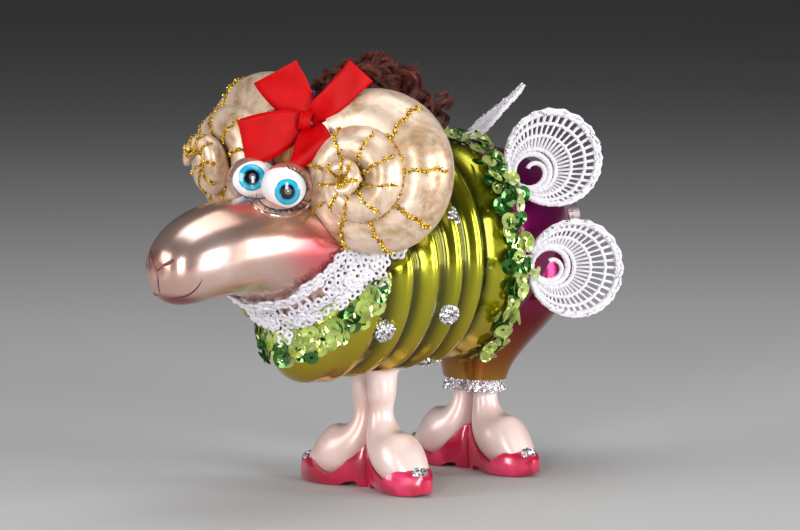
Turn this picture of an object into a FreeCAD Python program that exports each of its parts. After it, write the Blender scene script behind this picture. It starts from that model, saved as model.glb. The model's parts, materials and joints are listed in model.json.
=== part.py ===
import FreeCAD, Part
import math
import os
from FreeCAD import Vector

# Blown-glass sheep ornament in a green coat, magenta breeches and red court shoes.
# Units are millimetres. While it is modelled, the sheep faces -Y, its own left is +X, +Z is up,
# and it stands on Z = 0 with its front toes on the line Y = 0. At the end everything is moved
# so that the origin is under the middle of the whole ornament.

# ---------------------------------------------------------------- driving dimensions
GLASS_WALL = 1.2          # blown glass wall
SEAT_GAP = 0.15           # glue line between glass pieces that slide into each other
TRIM_GAP = 0.2            # trimmings lie this far off the glass

TORSO_FRONT = -33.5       # tip of the chest
TORSO_REAR = 38.0         # plane of the waist joint
TORSO_HALF_WIDTH = 26.0
TORSO_TOP = 96.0
TORSO_BELLY = 32.0
TORSO_MIDDLE = 63.5
CHEST_TIP_Z = 45.0
ROLL_CREASES = (-12.0, -3.0, 8.0, 16.5, 25.5, 44.0)   # creases between the rolls of the coat
ROLL_DEPTH = 2.4
ROLL_STEP = 1.8           # spacing of the rings that draw the rolls
CHEST_DEPTH = 31.0        # from the chest tip to the coat's full width
CHEST_ROUNDING = 11.0     # from the chest tip to the lowest line of the belly
BACK_CLIMB = 60.0         # from the chest tip to the top of the back
WAIST_DRAW_IN = 1.2

RUMP_LENGTH = 43.0        # from the waist joint to the rear of the dome
RUMP_STEP = 0.8           # the breeches are this much smaller than the coat at the waist
SPIGOT_LENGTH = 4.0
HEM_Z = 26.4
HEM_HALF_WIDTH = 10.6
HEM_HALF_LENGTH = 7.0

PIPE_RADIUS = 3.9         # blowing neck left on the rear of the rump
PIPE_WALL = 0.9
PIPE_LENGTH = 6.0
PIPE_Z = 70.0
CAP_WALL = 0.5
CAP_CLEARANCE = 0.3
CAP_SKIRT = 4.6
CAP_CRIMPS = 16

COLLAR_CENTRE = Vector(0, -16.0, 66.5)   # ring where the head meets the coat
COLLAR_TILT = 49.0        # degrees that the ring's plane leans from upright
COLLAR_HALF_WIDTH = 20.3
COLLAR_HALF_HEIGHT = 24.5
LACE_HEIGHT = 8.5
LACE_THICKNESS = 0.9

HEAD_ROLL = 4.0           # the hand-set head leans a little to its own left
HEAD_LIFT = 3.8           # and is pitched up by this much
HEAD_PIVOT = Vector(0, -17.0, 86.0)

HORN_CENTRE = Vector(22.0, -16.5, 90.0)
HORN_TOE_OUT = 17.0       # degrees between the horn's axis and straight ahead
HORN_TURNS = 2.62
HORN_FULL_TURNS = 3.02    # where the taper would reach nothing
HORN_RADIUS = 24.5        # outside radius where the horn leaves the head
HORN_RISE = 27.0          # from the first whorl's plane to the tip
HORN_TAPER = 1.25
HORN_TUBE_SHARE = 0.41    # tube radius over outside radius
HORN_ROOT_TURN = 0.12     # extra turn at the root, trimmed flat against the crown
HORN_HOLLOW_TURNS = 1.6   # past this the tube is too thin to be hollow
HORN_PIECE_TURNS = 0.7
HORN_RINGS = 12           # rings that draw each piece
CROWN_HALF_WIDTH = 11.0
CROWN_CENTRE = Vector(0, -12.5, 94.5)
CROWN_RADII = (20.0, 17.0, 13.0)

EYE_CENTRE = Vector(6.6, -37.4, 86.4)
EYE_RADII = (6.2, 5.4, 5.4)
EYELID = 0.9              # thickness of the moulded rim behind each eye
LOCKS = 5
LOCKS_X = (-4.0, 7.0)     # from the first lock of the forelock to the last

LEG_X = (2.9, 4.1)        # front, rear
LEG_Y = (4.5, 46.8)
FOOT_TURN = (10.0, 2.0)   # degrees that the toes turn forward
LEG_SEAT = 0.3            # between the front legs and the belly that they are glued to
LEG_WALL_GAP = 0.1        # half the gap between left and right foot
FRILL_WAVES = 14
SHOE_LENGTH = 24.4
TOE_ROOM = 2.8            # from the foot's end to the tip of the shoe

SEQUIN_RADIUS = 2.5
SEQUIN_HOLE = 0.65
SEQUIN_DEPTH = 0.6
SEQUIN_SIDES = 8
GLITTER_DOT_RADIUS = 2.9
GLITTER_DOT_HEIGHT = 0.5

FAN_RADIUS = 14.5
FAN_EYE_RADIUS = 5.4
FAN_THICKNESS = 1.0
FAN_SLOTS = 11

FAN_BORDER = 2.0          # solid edge outside the slots
FAN_BEHIND_THREAD = 4.8   # from the garland's thread back to where the fans leave the waist
FANS = (
    # name, angle round the waist, direction it opens in, way it faces
    ("top", 4.0, (-0.20, 0.87, 0.44), (-0.46, -0.61, 0.65)),
    ("upper_left", 50.0, (0.45, 0.72, 0.53), (0.68, -0.73, 0.11)),
    ("lower_left", 95.0, (0.57, 0.80, -0.10), (0.68, -0.73, 0.11)),
    ("upper_right", -58.0, (-0.40, 0.91, 0.0), (-0.80, -0.60, 0.0)),
    ("lower_right", -98.0, (-0.55, 0.83, -0.1), (-0.68, -0.73, 0.11)),
)
THREAD_RADIUS = 0.25
THREAD_Y = 37.2
WAIST_SEQUINS = 30        # in each of two rows
COLLAR_ROWS = (1.2, 5.0, 8.8)   # distances behind the collar ring
GLITTER_DOTS = (
    # station, angle from the top
    (-12.6, 120.0),
    (10.8, 117.0),
    (14.2, 63.0),
    (21.0, 165.0),
)
LEG_TOPS = ((33.5, (6.0, 6.6)), (HEM_Z, (3.3, 3.8)))   # height, reach across and along

RIBBON_THICKNESS = 0.5
BOW_KNOT = Vector(6.2, -27.5, 104.4)
BOW_TURN = 30.0           # the bow is turned this far to the animal's left
KNOT_RADII = (3.1, 3.8, 3.0)
WIRE_RADIUS = 0.35
WIRE_ENDS = (((0.6, 4.2, -0.6), (1.4, 8.0, -1.0)), ((-1.6, -3.6, 2.4), (-2.2, -6.0, 2.6)))
HAIR_CENTRE = Vector(0, 2.5, 108.0)
HAIR_RADII = (13.0, 19.5, 11.0)
HAIR_CURLS = (
    # place from the middle of the hair, radius
    (3.0, -10.0, 8.5, 5.5),
    (-5.0, -12.0, 4.5, 5.0),
    (-2.0, 1.0, 9.5, 5.0),
    (5.0, 8.0, 7.5, 5.0),
    (6.0, 17.0, 0.0, 4.5),
    (-5.0, 14.0, 3.0, 5.0),
)

X = Vector(1, 0, 0)
Y = Vector(0, 1, 0)
Z = Vector(0, 0, 1)


# ---------------------------------------------------------------- shape helpers
def skin(rows):
    """A solid whose side passes through closed rings of points, with flat ends."""
    surface = Part.BSplineSurface()
    surface.interpolate([ring + ring[:1] for ring in rows])
    side = surface.toShape()
    ends = [Part.Face(Part.Wire([edge])) for edge in side.Edges if edge.isClosed()]
    shell = Part.makeShell([side] + ends)
    shell.sewShape()
    solid = Part.makeSolid(shell)
    if solid.Volume < 0:
        solid.reverse()
    return solid


def oval(centre, across, upward, half_across, half_up, half_down=None, count=16, pear=0.0):
    """Points of an oval ring; pear above 0 narrows its upper half and widens its lower half."""
    points = []
    for i in range(count):
        angle = 2 * math.pi * i / count
        reach = half_up if half_down is None or math.cos(angle) > 0 else half_down
        x = half_across * math.sin(angle) * (1 - pear * math.cos(angle))
        points.append(centre + across * x + upward * (reach * math.cos(angle)))
    return points


def ellipsoid(centre, radii):
    """A ball stretched to three radii."""
    matrix = FreeCAD.Matrix()
    matrix.scale(*radii)
    ball = Part.makeSphere(1.0).transformGeometry(matrix)
    ball.translate(centre)
    return ball


def mirrored(shape):
    """The same piece for the other side of the animal."""
    return shape.mirror(Vector(0, 0, 0), Vector(1, 0, 0))


def tipped(shape):
    """Leans a piece with the head."""
    leaning = shape.copy()
    leaning.rotate(HEAD_PIVOT, Y, HEAD_ROLL)
    leaning.rotate(HEAD_PIVOT, X, -HEAD_LIFT)
    return leaning


def oriented(shape, origin, x_axis, z_axis):
    """Moves a piece made at the origin so that its Z points along z_axis and its X nearly along x_axis."""
    z_axis = Vector(z_axis).normalize()
    y_axis = z_axis.cross(Vector(x_axis)).normalize()
    x_axis = y_axis.cross(z_axis)
    matrix = FreeCAD.Matrix(
        x_axis.x, y_axis.x, z_axis.x, origin.x,
        x_axis.y, y_axis.y, z_axis.y, origin.y,
        x_axis.z, y_axis.z, z_axis.z, origin.z,
        0, 0, 0, 1)
    moved = shape.copy()
    moved.transformShape(matrix, True)
    return moved


def largest(shape):
    """The main solid of a trimmed shape."""
    return max(shape.Solids, key=lambda solid: solid.Volume)


def seat(carrier, point):
    """Nearest point on a carrier's surface and the direction that leads out of it there."""
    spot = carrier.Shells[0].distToShape(Part.Vertex(point))[1][0][0]
    outward = spot - point if carrier.isInside(point, 0.001, True) else point - spot
    return spot, outward.normalize()


# ---------------------------------------------------------------- coat
def roll_inset(y):
    """How far the coat's surface sinks towards the crease on either side of each roll."""
    for start, stop in zip(ROLL_CREASES, ROLL_CREASES[1:]):
        if start <= y <= stop:
            return ROLL_DEPTH * (0.5 + 0.5 * math.cos(2 * math.pi * (y - start) / (stop - start))) ** 0.85
    return 0.0


def torso_section(y):
    """Half width of the coat at station y, its reach above and below its middle, and that middle."""
    half_width = TORSO_HALF_WIDTH * (1 - (1 - min(1.0, (y - TORSO_FRONT) / CHEST_DEPTH)) ** 2) ** 0.75
    rise = math.sin(math.pi / 2 * min(1.0, (y - TORSO_FRONT) / CHEST_DEPTH))
    middle = CHEST_TIP_Z + (TORSO_MIDDLE - CHEST_TIP_Z) * rise
    climb = math.sin(math.pi / 2 * min(1.0, (y - TORSO_FRONT) / BACK_CLIMB)) ** 0.95
    top = CHEST_TIP_Z + (TORSO_TOP - CHEST_TIP_Z) * climb
    nose = min(1.0, (y - TORSO_FRONT) / CHEST_ROUNDING)
    bottom = TORSO_BELLY + (CHEST_TIP_Z - TORSO_BELLY) * (1 - math.sqrt(1 - (1 - nose) ** 2))
    drawn_in = roll_inset(y) + WAIST_DRAW_IN * max(0.0, y / TORSO_REAR) ** 3
    return half_width - drawn_in, top - middle - drawn_in, middle - bottom - drawn_in, middle


def torso_ring(y, inset=0.0, count=20):
    """One ring of the coat at station y, drawn in by inset."""
    half_width, above, below, middle = torso_section(y)
    return oval(Vector(0, y, middle), X, Z, max(0.4, half_width - inset), max(0.4, above - inset),
                max(0.4, below - inset), count)


def coat_spot(y, angle, lift=0.0):
    """A point on the coat and its outward normal; angle runs from the top to the animal's left."""
    def at(station, turn):
        half_width, above, below, middle = torso_section(min(station, TORSO_REAR))
        reach = above if math.cos(turn) > 0 else below
        return Vector(half_width * math.sin(turn), station, middle + reach * math.cos(turn))
    turn = math.radians(angle)
    along = at(y + 0.5, turn) - at(y - 0.5, turn)
    around = at(y, turn + 0.03) - at(y, turn - 0.03)
    normal = around.cross(along).normalize()
    return at(y, turn) + normal * lift, normal


def torso_stations():
    """Close stations over the rounded chest, then even ones that draw each roll."""
    front = [TORSO_FRONT + d for d in (0.1, 0.7, 1.8, 3.6, 6.2, 9.4, 13.0, 17.0)]
    steps = round((TORSO_REAR - ROLL_CREASES[0]) / ROLL_STEP)
    pitch = (TORSO_REAR - ROLL_CREASES[0]) / steps
    return front + [ROLL_CREASES[0] + pitch * i for i in range(steps + 1)]


def torso_solid(inset=0.0):
    """The coat's outside as a solid; a negative inset makes it larger."""
    return skin([torso_ring(y, inset) for y in torso_stations()])


def torso_shell(neck):
    first = TORSO_FRONT + 3.0
    stations = [first + (TORSO_REAR - first) * i / 12 for i in range(13)]
    rows = [torso_ring(y, GLASS_WALL + ROLL_DEPTH - roll_inset(y)) for y in stations]
    rows.append([point + Y * 3 for point in rows[-1]])
    hollow = skin(rows)
    return largest(torso_solid().cut(hollow).cut(neck))


# ---------------------------------------------------------------- head
HEAD_STATIONS = (
    # y, z, half width, above, below, tilt in degrees
    (-77.2, 67.3, 2.4, 2.4, 2.6, 0.0),
    (-76.6, 67.3, 4.9, 4.9, 5.0, 0.0),
    (-74.6, 67.4, 7.7, 7.8, 8.0, 0.0),
    (-70.8, 68.0, 10.2, 10.6, 10.2, 0.0),
    (-65.0, 69.0, 12.4, 12.6, 11.2, 1.0),
    (-58.0, 70.0, 13.8, 13.7, 11.6, 3.0),
    (-50.0, 70.8, 14.9, 13.6, 12.0, 7.0),
    (-41.0, 71.2, 16.2, 14.4, 14.6, 14.0),
    (-32.0, 71.3, 17.8, 16.8, 17.6, 25.0),
)


def collar_axes():
    tilt = math.radians(COLLAR_TILT)
    up = Vector(0, math.sin(tilt), math.cos(tilt))
    ahead = Vector(0, -math.cos(tilt), math.sin(tilt))
    return up, ahead


def neck_ring(ahead_by, swell=0.0, count=20):
    """Ring of the neck that runs into the coat, ahead_by millimetres in front of the collar plane."""
    up, ahead = collar_axes()
    shrink = 0.10 * max(0.0, ahead_by) + (0.25 * -ahead_by if ahead_by < 0 else 0.0)
    lean = math.radians(COLLAR_TILT - 1.2 * max(0.0, ahead_by))
    up = Vector(0, math.sin(lean), math.cos(lean))
    return oval(COLLAR_CENTRE + ahead * ahead_by, X, up, COLLAR_HALF_WIDTH - shrink + swell,
                COLLAR_HALF_HEIGHT - 3.2 * shrink + swell, None, count)


def head_solid(inset=0.0, plug=SPIGOT_LENGTH):
    rows = []
    for i, (y, z, half_width, above, below, tilt) in enumerate(HEAD_STATIONS):
        lean = math.radians(tilt)
        up = Vector(0, math.sin(lean), math.cos(lean))
        y = y + inset * (1 - i / len(HEAD_STATIONS))
        rows.append(oval(Vector(0, y, z), X, up, max(0.4, half_width - inset), max(0.4, above - inset),
                         max(0.4, below - inset), 20))
    rows += [neck_ring(distance, -inset) for distance in (8.5, 4.0, 0.0, -plug)]
    return skin(rows)


def crown_solid(grow=0.0):
    """Top of the skull, flat on both sides where the horns are fused on."""
    half = CROWN_HALF_WIDTH + grow
    sides = Part.makeBox(2 * half, 70, 60, Vector(-half, -50, 72))
    return tipped(ellipsoid(CROWN_CENTRE, [r + grow for r in CROWN_RADII]).common(sides))


def eyelid(side, grow=0.0):
    """Moulded rim that carries one eye."""
    centre = Vector(EYE_CENTRE.x * side, EYE_CENTRE.y + 1.9, EYE_CENTRE.z - 0.2)
    return tipped(ellipsoid(centre, [r + EYELID + grow for r in EYE_RADII]))


def eye(side, grow=0.0):
    centre = Vector(EYE_CENTRE.x * side, EYE_CENTRE.y, EYE_CENTRE.z)
    return tipped(ellipsoid(centre, [r + grow for r in EYE_RADII]))


def head_shell(coat):
    """Muzzle, skull and neck, hollow, with a socket for each eye."""
    head = head_solid().fuse(crown_solid().cut(coat))
    for side in (1, -1):
        head = head.fuse(eyelid(side))
    for side in (1, -1):
        head = head.cut(eye(side, SEAT_GAP))
    return largest(head.cut(head_solid(GLASS_WALL, SPIGOT_LENGTH + 1)))


def head_stops(grow):
    """Slightly enlarged solids of the head, to trim what is set against it."""
    return [head_solid(-grow), crown_solid(grow), eyelid(1, grow), eyelid(-1, grow)]


def forelock(stops, grow=0.0):
    """Moulded curls on the front of the crown, between the eyes and the bow."""
    locks = []
    for i in range(LOCKS):
        x = LOCKS_X[0] + (LOCKS_X[1] - LOCKS_X[0]) * i / (LOCKS - 1)
        rows = []
        for share, radius in ((0.0, 0.8), (0.2, 1.5), (0.5, 1.8), (0.8, 1.5), (1.0, 0.7)):
            angle = math.radians(26 - (44 - 5 * abs(i - 2)) * share)
            ahead, up = math.cos(angle) * CROWN_RADII[1], math.sin(angle) * CROWN_RADII[2]
            front = Z * up - Y * ahead
            centre = CROWN_CENTRE + front * 1.04 + X * (x + 1.3 * math.sin(4 * share + i))
            along = Vector(0, math.sin(angle), math.cos(angle))
            rows.append(oval(centre, X, X.cross(along), radius + grow, radius + grow, None, 8))
        locks.append(skin(rows))
    mass = locks[0]
    for lock in locks[1:]:
        mass = mass.fuse(lock)
    return trimmed(tipped(mass), stops)


# ---------------------------------------------------------------- horns
def horn_row(turn, grow=0.0, count=12):
    """A ring of the horn's tube; turn 0 is at the top and the horn winds outwards and down."""
    toe = math.radians(HORN_TOE_OUT)
    ahead = Vector(math.sin(toe), -math.cos(toe), 0)
    outward = Vector(math.cos(toe), math.sin(toe), 0)
    size = 1 - turn / HORN_FULL_TURNS
    radius = HORN_RADIUS * size ** HORN_TAPER
    tube = radius * HORN_TUBE_SHARE
    rise = HORN_RISE * (1 - size ** HORN_TAPER)
    angle = 2 * math.pi * turn
    radial = Z * math.cos(angle) + outward * math.sin(angle)
    centre = HORN_CENTRE + radial * (radius - tube) + ahead * rise
    return [centre + (radial * math.cos(p) + ahead * math.sin(p)) * (tube + grow)
            for p in (2 * math.pi * j / count for j in range(count))]


def horn_solid(grow=0.0, start=-HORN_ROOT_TURN, stop=HORN_TURNS):
    """The wound tube, in pieces of less than a turn that are fused where the turns touch."""
    pieces = math.ceil((stop - start) / HORN_PIECE_TURNS)
    length = (stop - start) / pieces
    horn = None
    for i in range(pieces):
        first = start + length * i
        piece = skin([horn_row(first + length * j / HORN_RINGS, grow) for j in range(HORN_RINGS + 1)])
        horn = piece if horn is None else horn.fuse(piece)
    return horn


def trimmed(shape, others):
    """The main solid that is left of a piece where others are in its way."""
    for other in others:
        shape = shape.cut(other)
    return largest(shape)


def horn_pair(stops):
    """Both horns, hollow and trimmed to sit on the head."""
    hollow = horn_solid(-GLASS_WALL, -HORN_ROOT_TURN - 0.02, HORN_HOLLOW_TURNS)
    left = horn_solid().cut(hollow)
    return [trimmed(tipped(horn), stops) for horn in (left, mirrored(left))]


# ---------------------------------------------------------------- rump
def rump_dome(inset=0.0):
    rim = torso_ring(TORSO_REAR, RUMP_STEP + inset)
    centre = Vector(0, TORSO_REAR, TORSO_MIDDLE)
    rows = []
    for share in (0.0, 0.16, 0.34, 0.52, 0.68, 0.82, 0.92, 0.98, 0.999):
        shrink = math.sqrt(1 - share ** 2.2)
        shift = Vector(0, (RUMP_LENGTH - inset) * share, 2.5 * share)
        rows.append([centre + shift + (point - centre) * max(0.02, shrink) for point in rim])
    return skin(rows)


BREECHES_STATIONS = (
    # z, centre y, half width, half length
    (HEM_Z, LEG_Y[1], HEM_HALF_WIDTH, HEM_HALF_LENGTH),
    (30.5, LEG_Y[1] + 0.6, HEM_HALF_WIDTH + 1.4, HEM_HALF_LENGTH + 1.1),
    (36.0, LEG_Y[1] + 2.6, HEM_HALF_WIDTH + 4.4, HEM_HALF_LENGTH + 4.4),
    (43.0, LEG_Y[1] + 5.9, HEM_HALF_WIDTH + 8.6, HEM_HALF_LENGTH + 9.4),
    (51.0, LEG_Y[1] + 8.9, HEM_HALF_WIDTH + 11.2, HEM_HALF_LENGTH + 13.8),
    (59.0, LEG_Y[1] + 10.0, HEM_HALF_WIDTH + 11.2, HEM_HALF_LENGTH + 15.4),
    (70.0, LEG_Y[1] + 8.0, HEM_HALF_WIDTH + 6.0, HEM_HALF_LENGTH + 8.0),
)


def breeches(inset=0.0):
    rows = []
    for z, y, half_width, half_length in BREECHES_STATIONS:
        floor = inset if z == HEM_Z else 0
        rows.append(oval(Vector(0, y, z + floor), X, Y, half_width - inset, half_length - inset, None, 20))
    in_front = Part.makeBox(80, 60, 80, Vector(-40, TORSO_REAR - 60 + inset, TORSO_BELLY - 0.5))
    return skin(rows).cut(in_front)


def rump_outside(coat):
    return rump_dome().fuse(breeches().cut(coat))


def rump_shell(coat):
    sunk = GLASS_WALL + ROLL_DEPTH - roll_inset(TORSO_REAR) + SEAT_GAP
    rim = torso_ring(TORSO_REAR, sunk + 0.4)
    rim = skin([[point + Y * step for point in rim] for step in (-SPIGOT_LENGTH, -2.0, 0.0, 0.5)])
    mouth = torso_ring(TORSO_REAR, sunk + 0.4 + GLASS_WALL)
    mouth = skin([[point + Y * step for point in mouth] for step in (-SPIGOT_LENGTH - 1, -1.0, 1.0, 3.0)])
    pipe_base = Vector(0, TORSO_REAR + RUMP_LENGTH - 6, PIPE_Z)
    pipe = Part.makeCylinder(PIPE_RADIUS, PIPE_LENGTH + 6, pipe_base, Y)
    pipe_bore = Part.makeCylinder(PIPE_RADIUS - PIPE_WALL, PIPE_LENGTH + 8, pipe_base - Y * 2, Y)
    outside = rump_outside(coat).fuse(pipe).fuse(rim)
    web = Part.makeBox(80, 20, 90, Vector(-40, TORSO_REAR - 20 + GLASS_WALL, 20))
    hollow = rump_dome(GLASS_WALL).fuse(breeches(GLASS_WALL)).cut(web)
    return largest(outside.cut(hollow).cut(mouth).cut(pipe_bore))


def neck_cap():
    """Crimped metal cap, open towards the rump."""
    inner = PIPE_RADIUS + CAP_CLEARANCE
    outer = inner + CAP_WALL
    end = TORSO_REAR + RUMP_LENGTH + PIPE_LENGTH
    start = end + CAP_CLEARANCE - CAP_SKIRT
    cap = Part.makeCylinder(outer, CAP_SKIRT + CAP_WALL, Vector(0, start, PIPE_Z), Y)
    cap = cap.cut(Part.makeCylinder(inner, CAP_SKIRT, Vector(0, start, PIPE_Z), Y))
    crimps = []
    for i in range(CAP_CRIMPS):
        angle = 2 * math.pi * i / CAP_CRIMPS
        spot = Vector((outer + 0.25) * math.cos(angle), start - 1, PIPE_Z + (outer + 0.25) * math.sin(angle))
        crimps.append(Part.makeCylinder(0.45, CAP_SKIRT * 0.5 + 1, spot, Y))
    return cap.cut(Part.makeCompound(crimps))


# ---------------------------------------------------------------- legs and shoes
LEG_STATIONS = (
    # x, z, tilt in degrees, half across, half along; the ankle stands at x = 0, the toe points to +X
    (0.3, 27.0, 0.0, 3.7, 4.3),
    (0.0, 21.5, 0.0, 3.3, 3.5),
    (0.6, 17.2, 14.0, 4.0, 4.4),
    (2.6, 13.4, 34.0, 5.6, 6.0),
    (6.0, 10.6, 54.0, 7.1, 7.0),
    (9.8, 8.6, 68.0, 7.2, 7.0),
    (13.4, 7.0, 78.0, 6.2, 6.2),
    (16.4, 5.6, 84.0, 4.4, 4.8),
    (18.6, 4.6, 88.0, 2.4, 3.0),
    (19.4, 4.2, 90.0, 1.0, 1.4),
)


def leg_solid(which, grow=0.0):
    """A leg with its foot, made over the origin; which is 0 for a front leg, 1 for a rear one."""
    top_z, (top_across, top_along) = LEG_TOPS[which]
    foot = (SHOE_LENGTH - LEG_X[which] - TOE_ROOM) / LEG_STATIONS[-1][0]
    rows = [oval(Vector(0.4, 0, top_z), Y, X, top_along + grow, top_across + grow)]
    for x, z, tilt, half_across, half_along in LEG_STATIONS:
        if z > top_z - 1:
            continue
        lean = math.radians(tilt)
        rows.append(oval(Vector(x * foot, 0, z), Y, Vector(math.cos(lean), 0, math.sin(lean)),
                         half_along + grow, half_across + grow))
    return skin(rows)


def shoe_solid(foot, ankle_x):
    """A court shoe with a turned-up back and a small heel, made over the origin."""
    heel_x = -ankle_x
    toe_x = heel_x + SHOE_LENGTH
    rows = []
    for share, half_along in ((0.0, 3.0), (0.08, 4.6), (0.25, 6.0), (0.45, 7.6), (0.62, 7.8), (0.78, 6.0),
                              (0.9, 3.6), (0.97, 2.0), (1.0, 0.7)):
        height = 15.5 - 9.5 * share
        rows.append(oval(Vector(heel_x + SHOE_LENGTH * share, 0, height * 0.42), Y, Z,
                         half_along, height * 0.66, height * 0.66))
    body = skin(rows)

    def at(x, z):
        return Vector(x, -12, z)

    def spline(points):
        curve = Part.BSplineCurve()
        curve.interpolate(Points=points)
        return curve.toShape()

    back, top = at(heel_x - 0.5, 0), at(heel_x - 0.5, 13.0)
    breast, arch, ball = at(heel_x + 3.2, 0), at(heel_x + 3.4, 1.4), at(heel_x + 8.5, 0)
    over_toe, tip, toe = at(toe_x + 0.5, 4.0), at(toe_x + 0.5, 1.4), at(toe_x - 6.0, 0)
    outline = Part.Wire([
        Part.makeLine(back, top),
        spline([top, at(heel_x + 3.0, 10.4), at(heel_x + 7.5, 5.2), at(heel_x + 11.5, 3.2),
                at(heel_x + 15.0, 5.2), at(heel_x + 18.5, 7.2), at(heel_x + 22.0, 6.6), over_toe]),
        Part.makeLine(over_toe, tip),
        spline([tip, at(toe_x - 3.0, 0.3), toe]),
        Part.makeLine(toe, ball),
        spline([ball, at(heel_x + 5.6, 1.2), arch]),
        Part.makeLine(arch, breast),
        Part.makeLine(breast, back),
    ])
    side_view = Part.Face(outline).extrude(Y * 24)
    return body.common(side_view).cut(foot)


def placed_foot(shape, which):
    """Turns a left foot's piece and moves it under its leg, clear of the right foot."""
    moved = shape.copy()
    moved.rotate(Vector(0, 0, 0), Z, -FOOT_TURN[which])
    moved.translate(Vector(LEG_X[which], LEG_Y[which], 0))
    other_side = Part.makeBox(20, 120, 60, Vector(LEG_WALL_GAP - 20, -40, -1))
    return moved.cut(other_side)


def frill():
    """Flared glass frill round the top of the left rear leg."""
    count = 2 * FRILL_WAVES
    outer, inner = [], []
    for drop, reach_x, reach_y in ((0.0, 4.7, 5.4), (1.6, 4.9, 5.9), (3.4, 5.4, 6.9)):
        for rows, shrink in ((outer, 0.0), (inner, 0.8)):
            row = []
            for i in range(count):
                angle = 2 * math.pi * i / count
                wave = 1 + (0.05 if i % 2 else -0.05) * drop / 3.4
                row.append(Vector(LEG_X[1] + 0.2 + (reach_x * wave - shrink) * math.sin(angle),
                                  LEG_Y[1] + (reach_y * wave - shrink) * math.cos(angle), HEM_Z - drop))
            rows.append(row)
    inner = [[p + Z for p in inner[0]]] + inner + [[p - Z for p in inner[-1]]]
    cup, hollow = (Part.makeLoft([Part.makePolygon(row + row[:1]) for row in rows], True, True)
                   for rows in (outer, inner))
    other_side = Part.makeBox(20, 120, 60, Vector(LEG_WALL_GAP - 20, 0, 0))
    return cup.cut(hollow).cut(other_side)


# ---------------------------------------------------------------- trimmings
def sequin(point, normal, along, radius=SEQUIN_RADIUS):
    """A shallow faceted cup with a hole, its back towards the surface that it is sewn to."""
    def polygon(r, z):
        turns = [2 * math.pi * i / SEQUIN_SIDES for i in range(SEQUIN_SIDES)]
        corners = [Vector(r * math.cos(turn), r * math.sin(turn), z) for turn in turns]
        return Part.makePolygon(corners + corners[:1])
    cup = Part.makeLoft([polygon(radius * 0.55, 0), polygon(radius, SEQUIN_DEPTH)], True, True)
    hole = 2 * SEQUIN_HOLE
    cup = cup.cut(Part.makeBox(hole, hole, 4, Vector(-SEQUIN_HOLE, -SEQUIN_HOLE, -1)))
    return oriented(cup, point, along, normal)


def waist_thread():
    """The thread that carries the sequins round the waist, open where its ends are tied underneath."""
    sections = []
    for i in range(37):
        spot, normal = coat_spot(THREAD_Y, 190 + 340 * i / 36, TRIM_GAP + THREAD_RADIUS)
        corners = [spot + (normal * math.cos(p) + Y * math.sin(p)) * THREAD_RADIUS
                   for p in (2 * math.pi * j / 5 for j in range(5))]
        sections.append(Part.makePolygon(corners + corners[:1]))
    return Part.makeLoft(sections, True, True)


def waist_sequins():
    """Two staggered rows, sewn on both sides of the thread."""
    pieces = []
    lift = TRIM_GAP + 2 * THREAD_RADIUS + 0.08
    rows = ((-1.75, -0.25, SEQUIN_RADIUS), (1.75, 0.5, SEQUIN_RADIUS * 0.84))
    for row, (side, lean, radius) in enumerate(rows):
        for i in range(WAIST_SEQUINS):
            angle = 360.0 * (i + 0.5 * row) / WAIST_SEQUINS
            if abs(angle - 180) < (12, 46)[row]:
                continue
            spot, normal = coat_spot(THREAD_Y + side, angle, lift)
            pieces.append(sequin(spot, normal + Y * lean, Y, radius))
    return Part.makeCompound(pieces)


def collar_point(angle, behind, out=0.0):
    """A point near the collar ring, angle from its lowest point to the animal's left."""
    up, ahead = collar_axes()
    turn = math.radians(angle)
    return (COLLAR_CENTRE - ahead * behind + X * ((COLLAR_HALF_WIDTH + out) * math.sin(turn))
            - up * ((COLLAR_HALF_HEIGHT + out) * math.cos(turn)))


def collar_sequins(coat):
    """Rows of sequins on the coat's chest, just below the lace."""
    pieces = []
    for row, behind in enumerate(COLLAR_ROWS):
        for i in range(-5, 6):
            angle = 14.5 * (i + 0.5 * (row % 2))
            spot, outward = seat(coat, collar_point(angle, behind, 6.0))
            size = 0.8 if (i + row) % 3 == 0 else 1.0
            pieces.append(sequin(spot + outward * TRIM_GAP, outward, X, SEQUIN_RADIUS * size))
    return Part.makeCompound(pieces)


def collar_lace(others):
    """Lace band that stands up round the neck from the joint between head and coat."""
    steps = (0.7, LACE_HEIGHT / 2, LACE_HEIGHT)
    band = skin([neck_ring(step, TRIM_GAP + LACE_THICKNESS + 0.10 * step) for step in steps])
    return trimmed(band, others)


def glitter_dots(coat):
    """Patches of glitter glued on the coat."""
    dots = []
    for y, angle in GLITTER_DOTS:
        for side in (1, -1):
            spot, normal = coat_spot(y, angle * side)
            ball = (GLITTER_DOT_RADIUS ** 2 + GLITTER_DOT_HEIGHT ** 2) / (2 * GLITTER_DOT_HEIGHT)
            dot = Part.makeSphere(ball).common(Part.makeCylinder(GLITTER_DOT_RADIUS, ball + 1))
            dot.translate(Z * (GLITTER_DOT_HEIGHT - ball))
            dots.append(largest(oriented(dot, spot, Y, normal).cut(coat)))
    return Part.makeCompound(dots)


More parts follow.
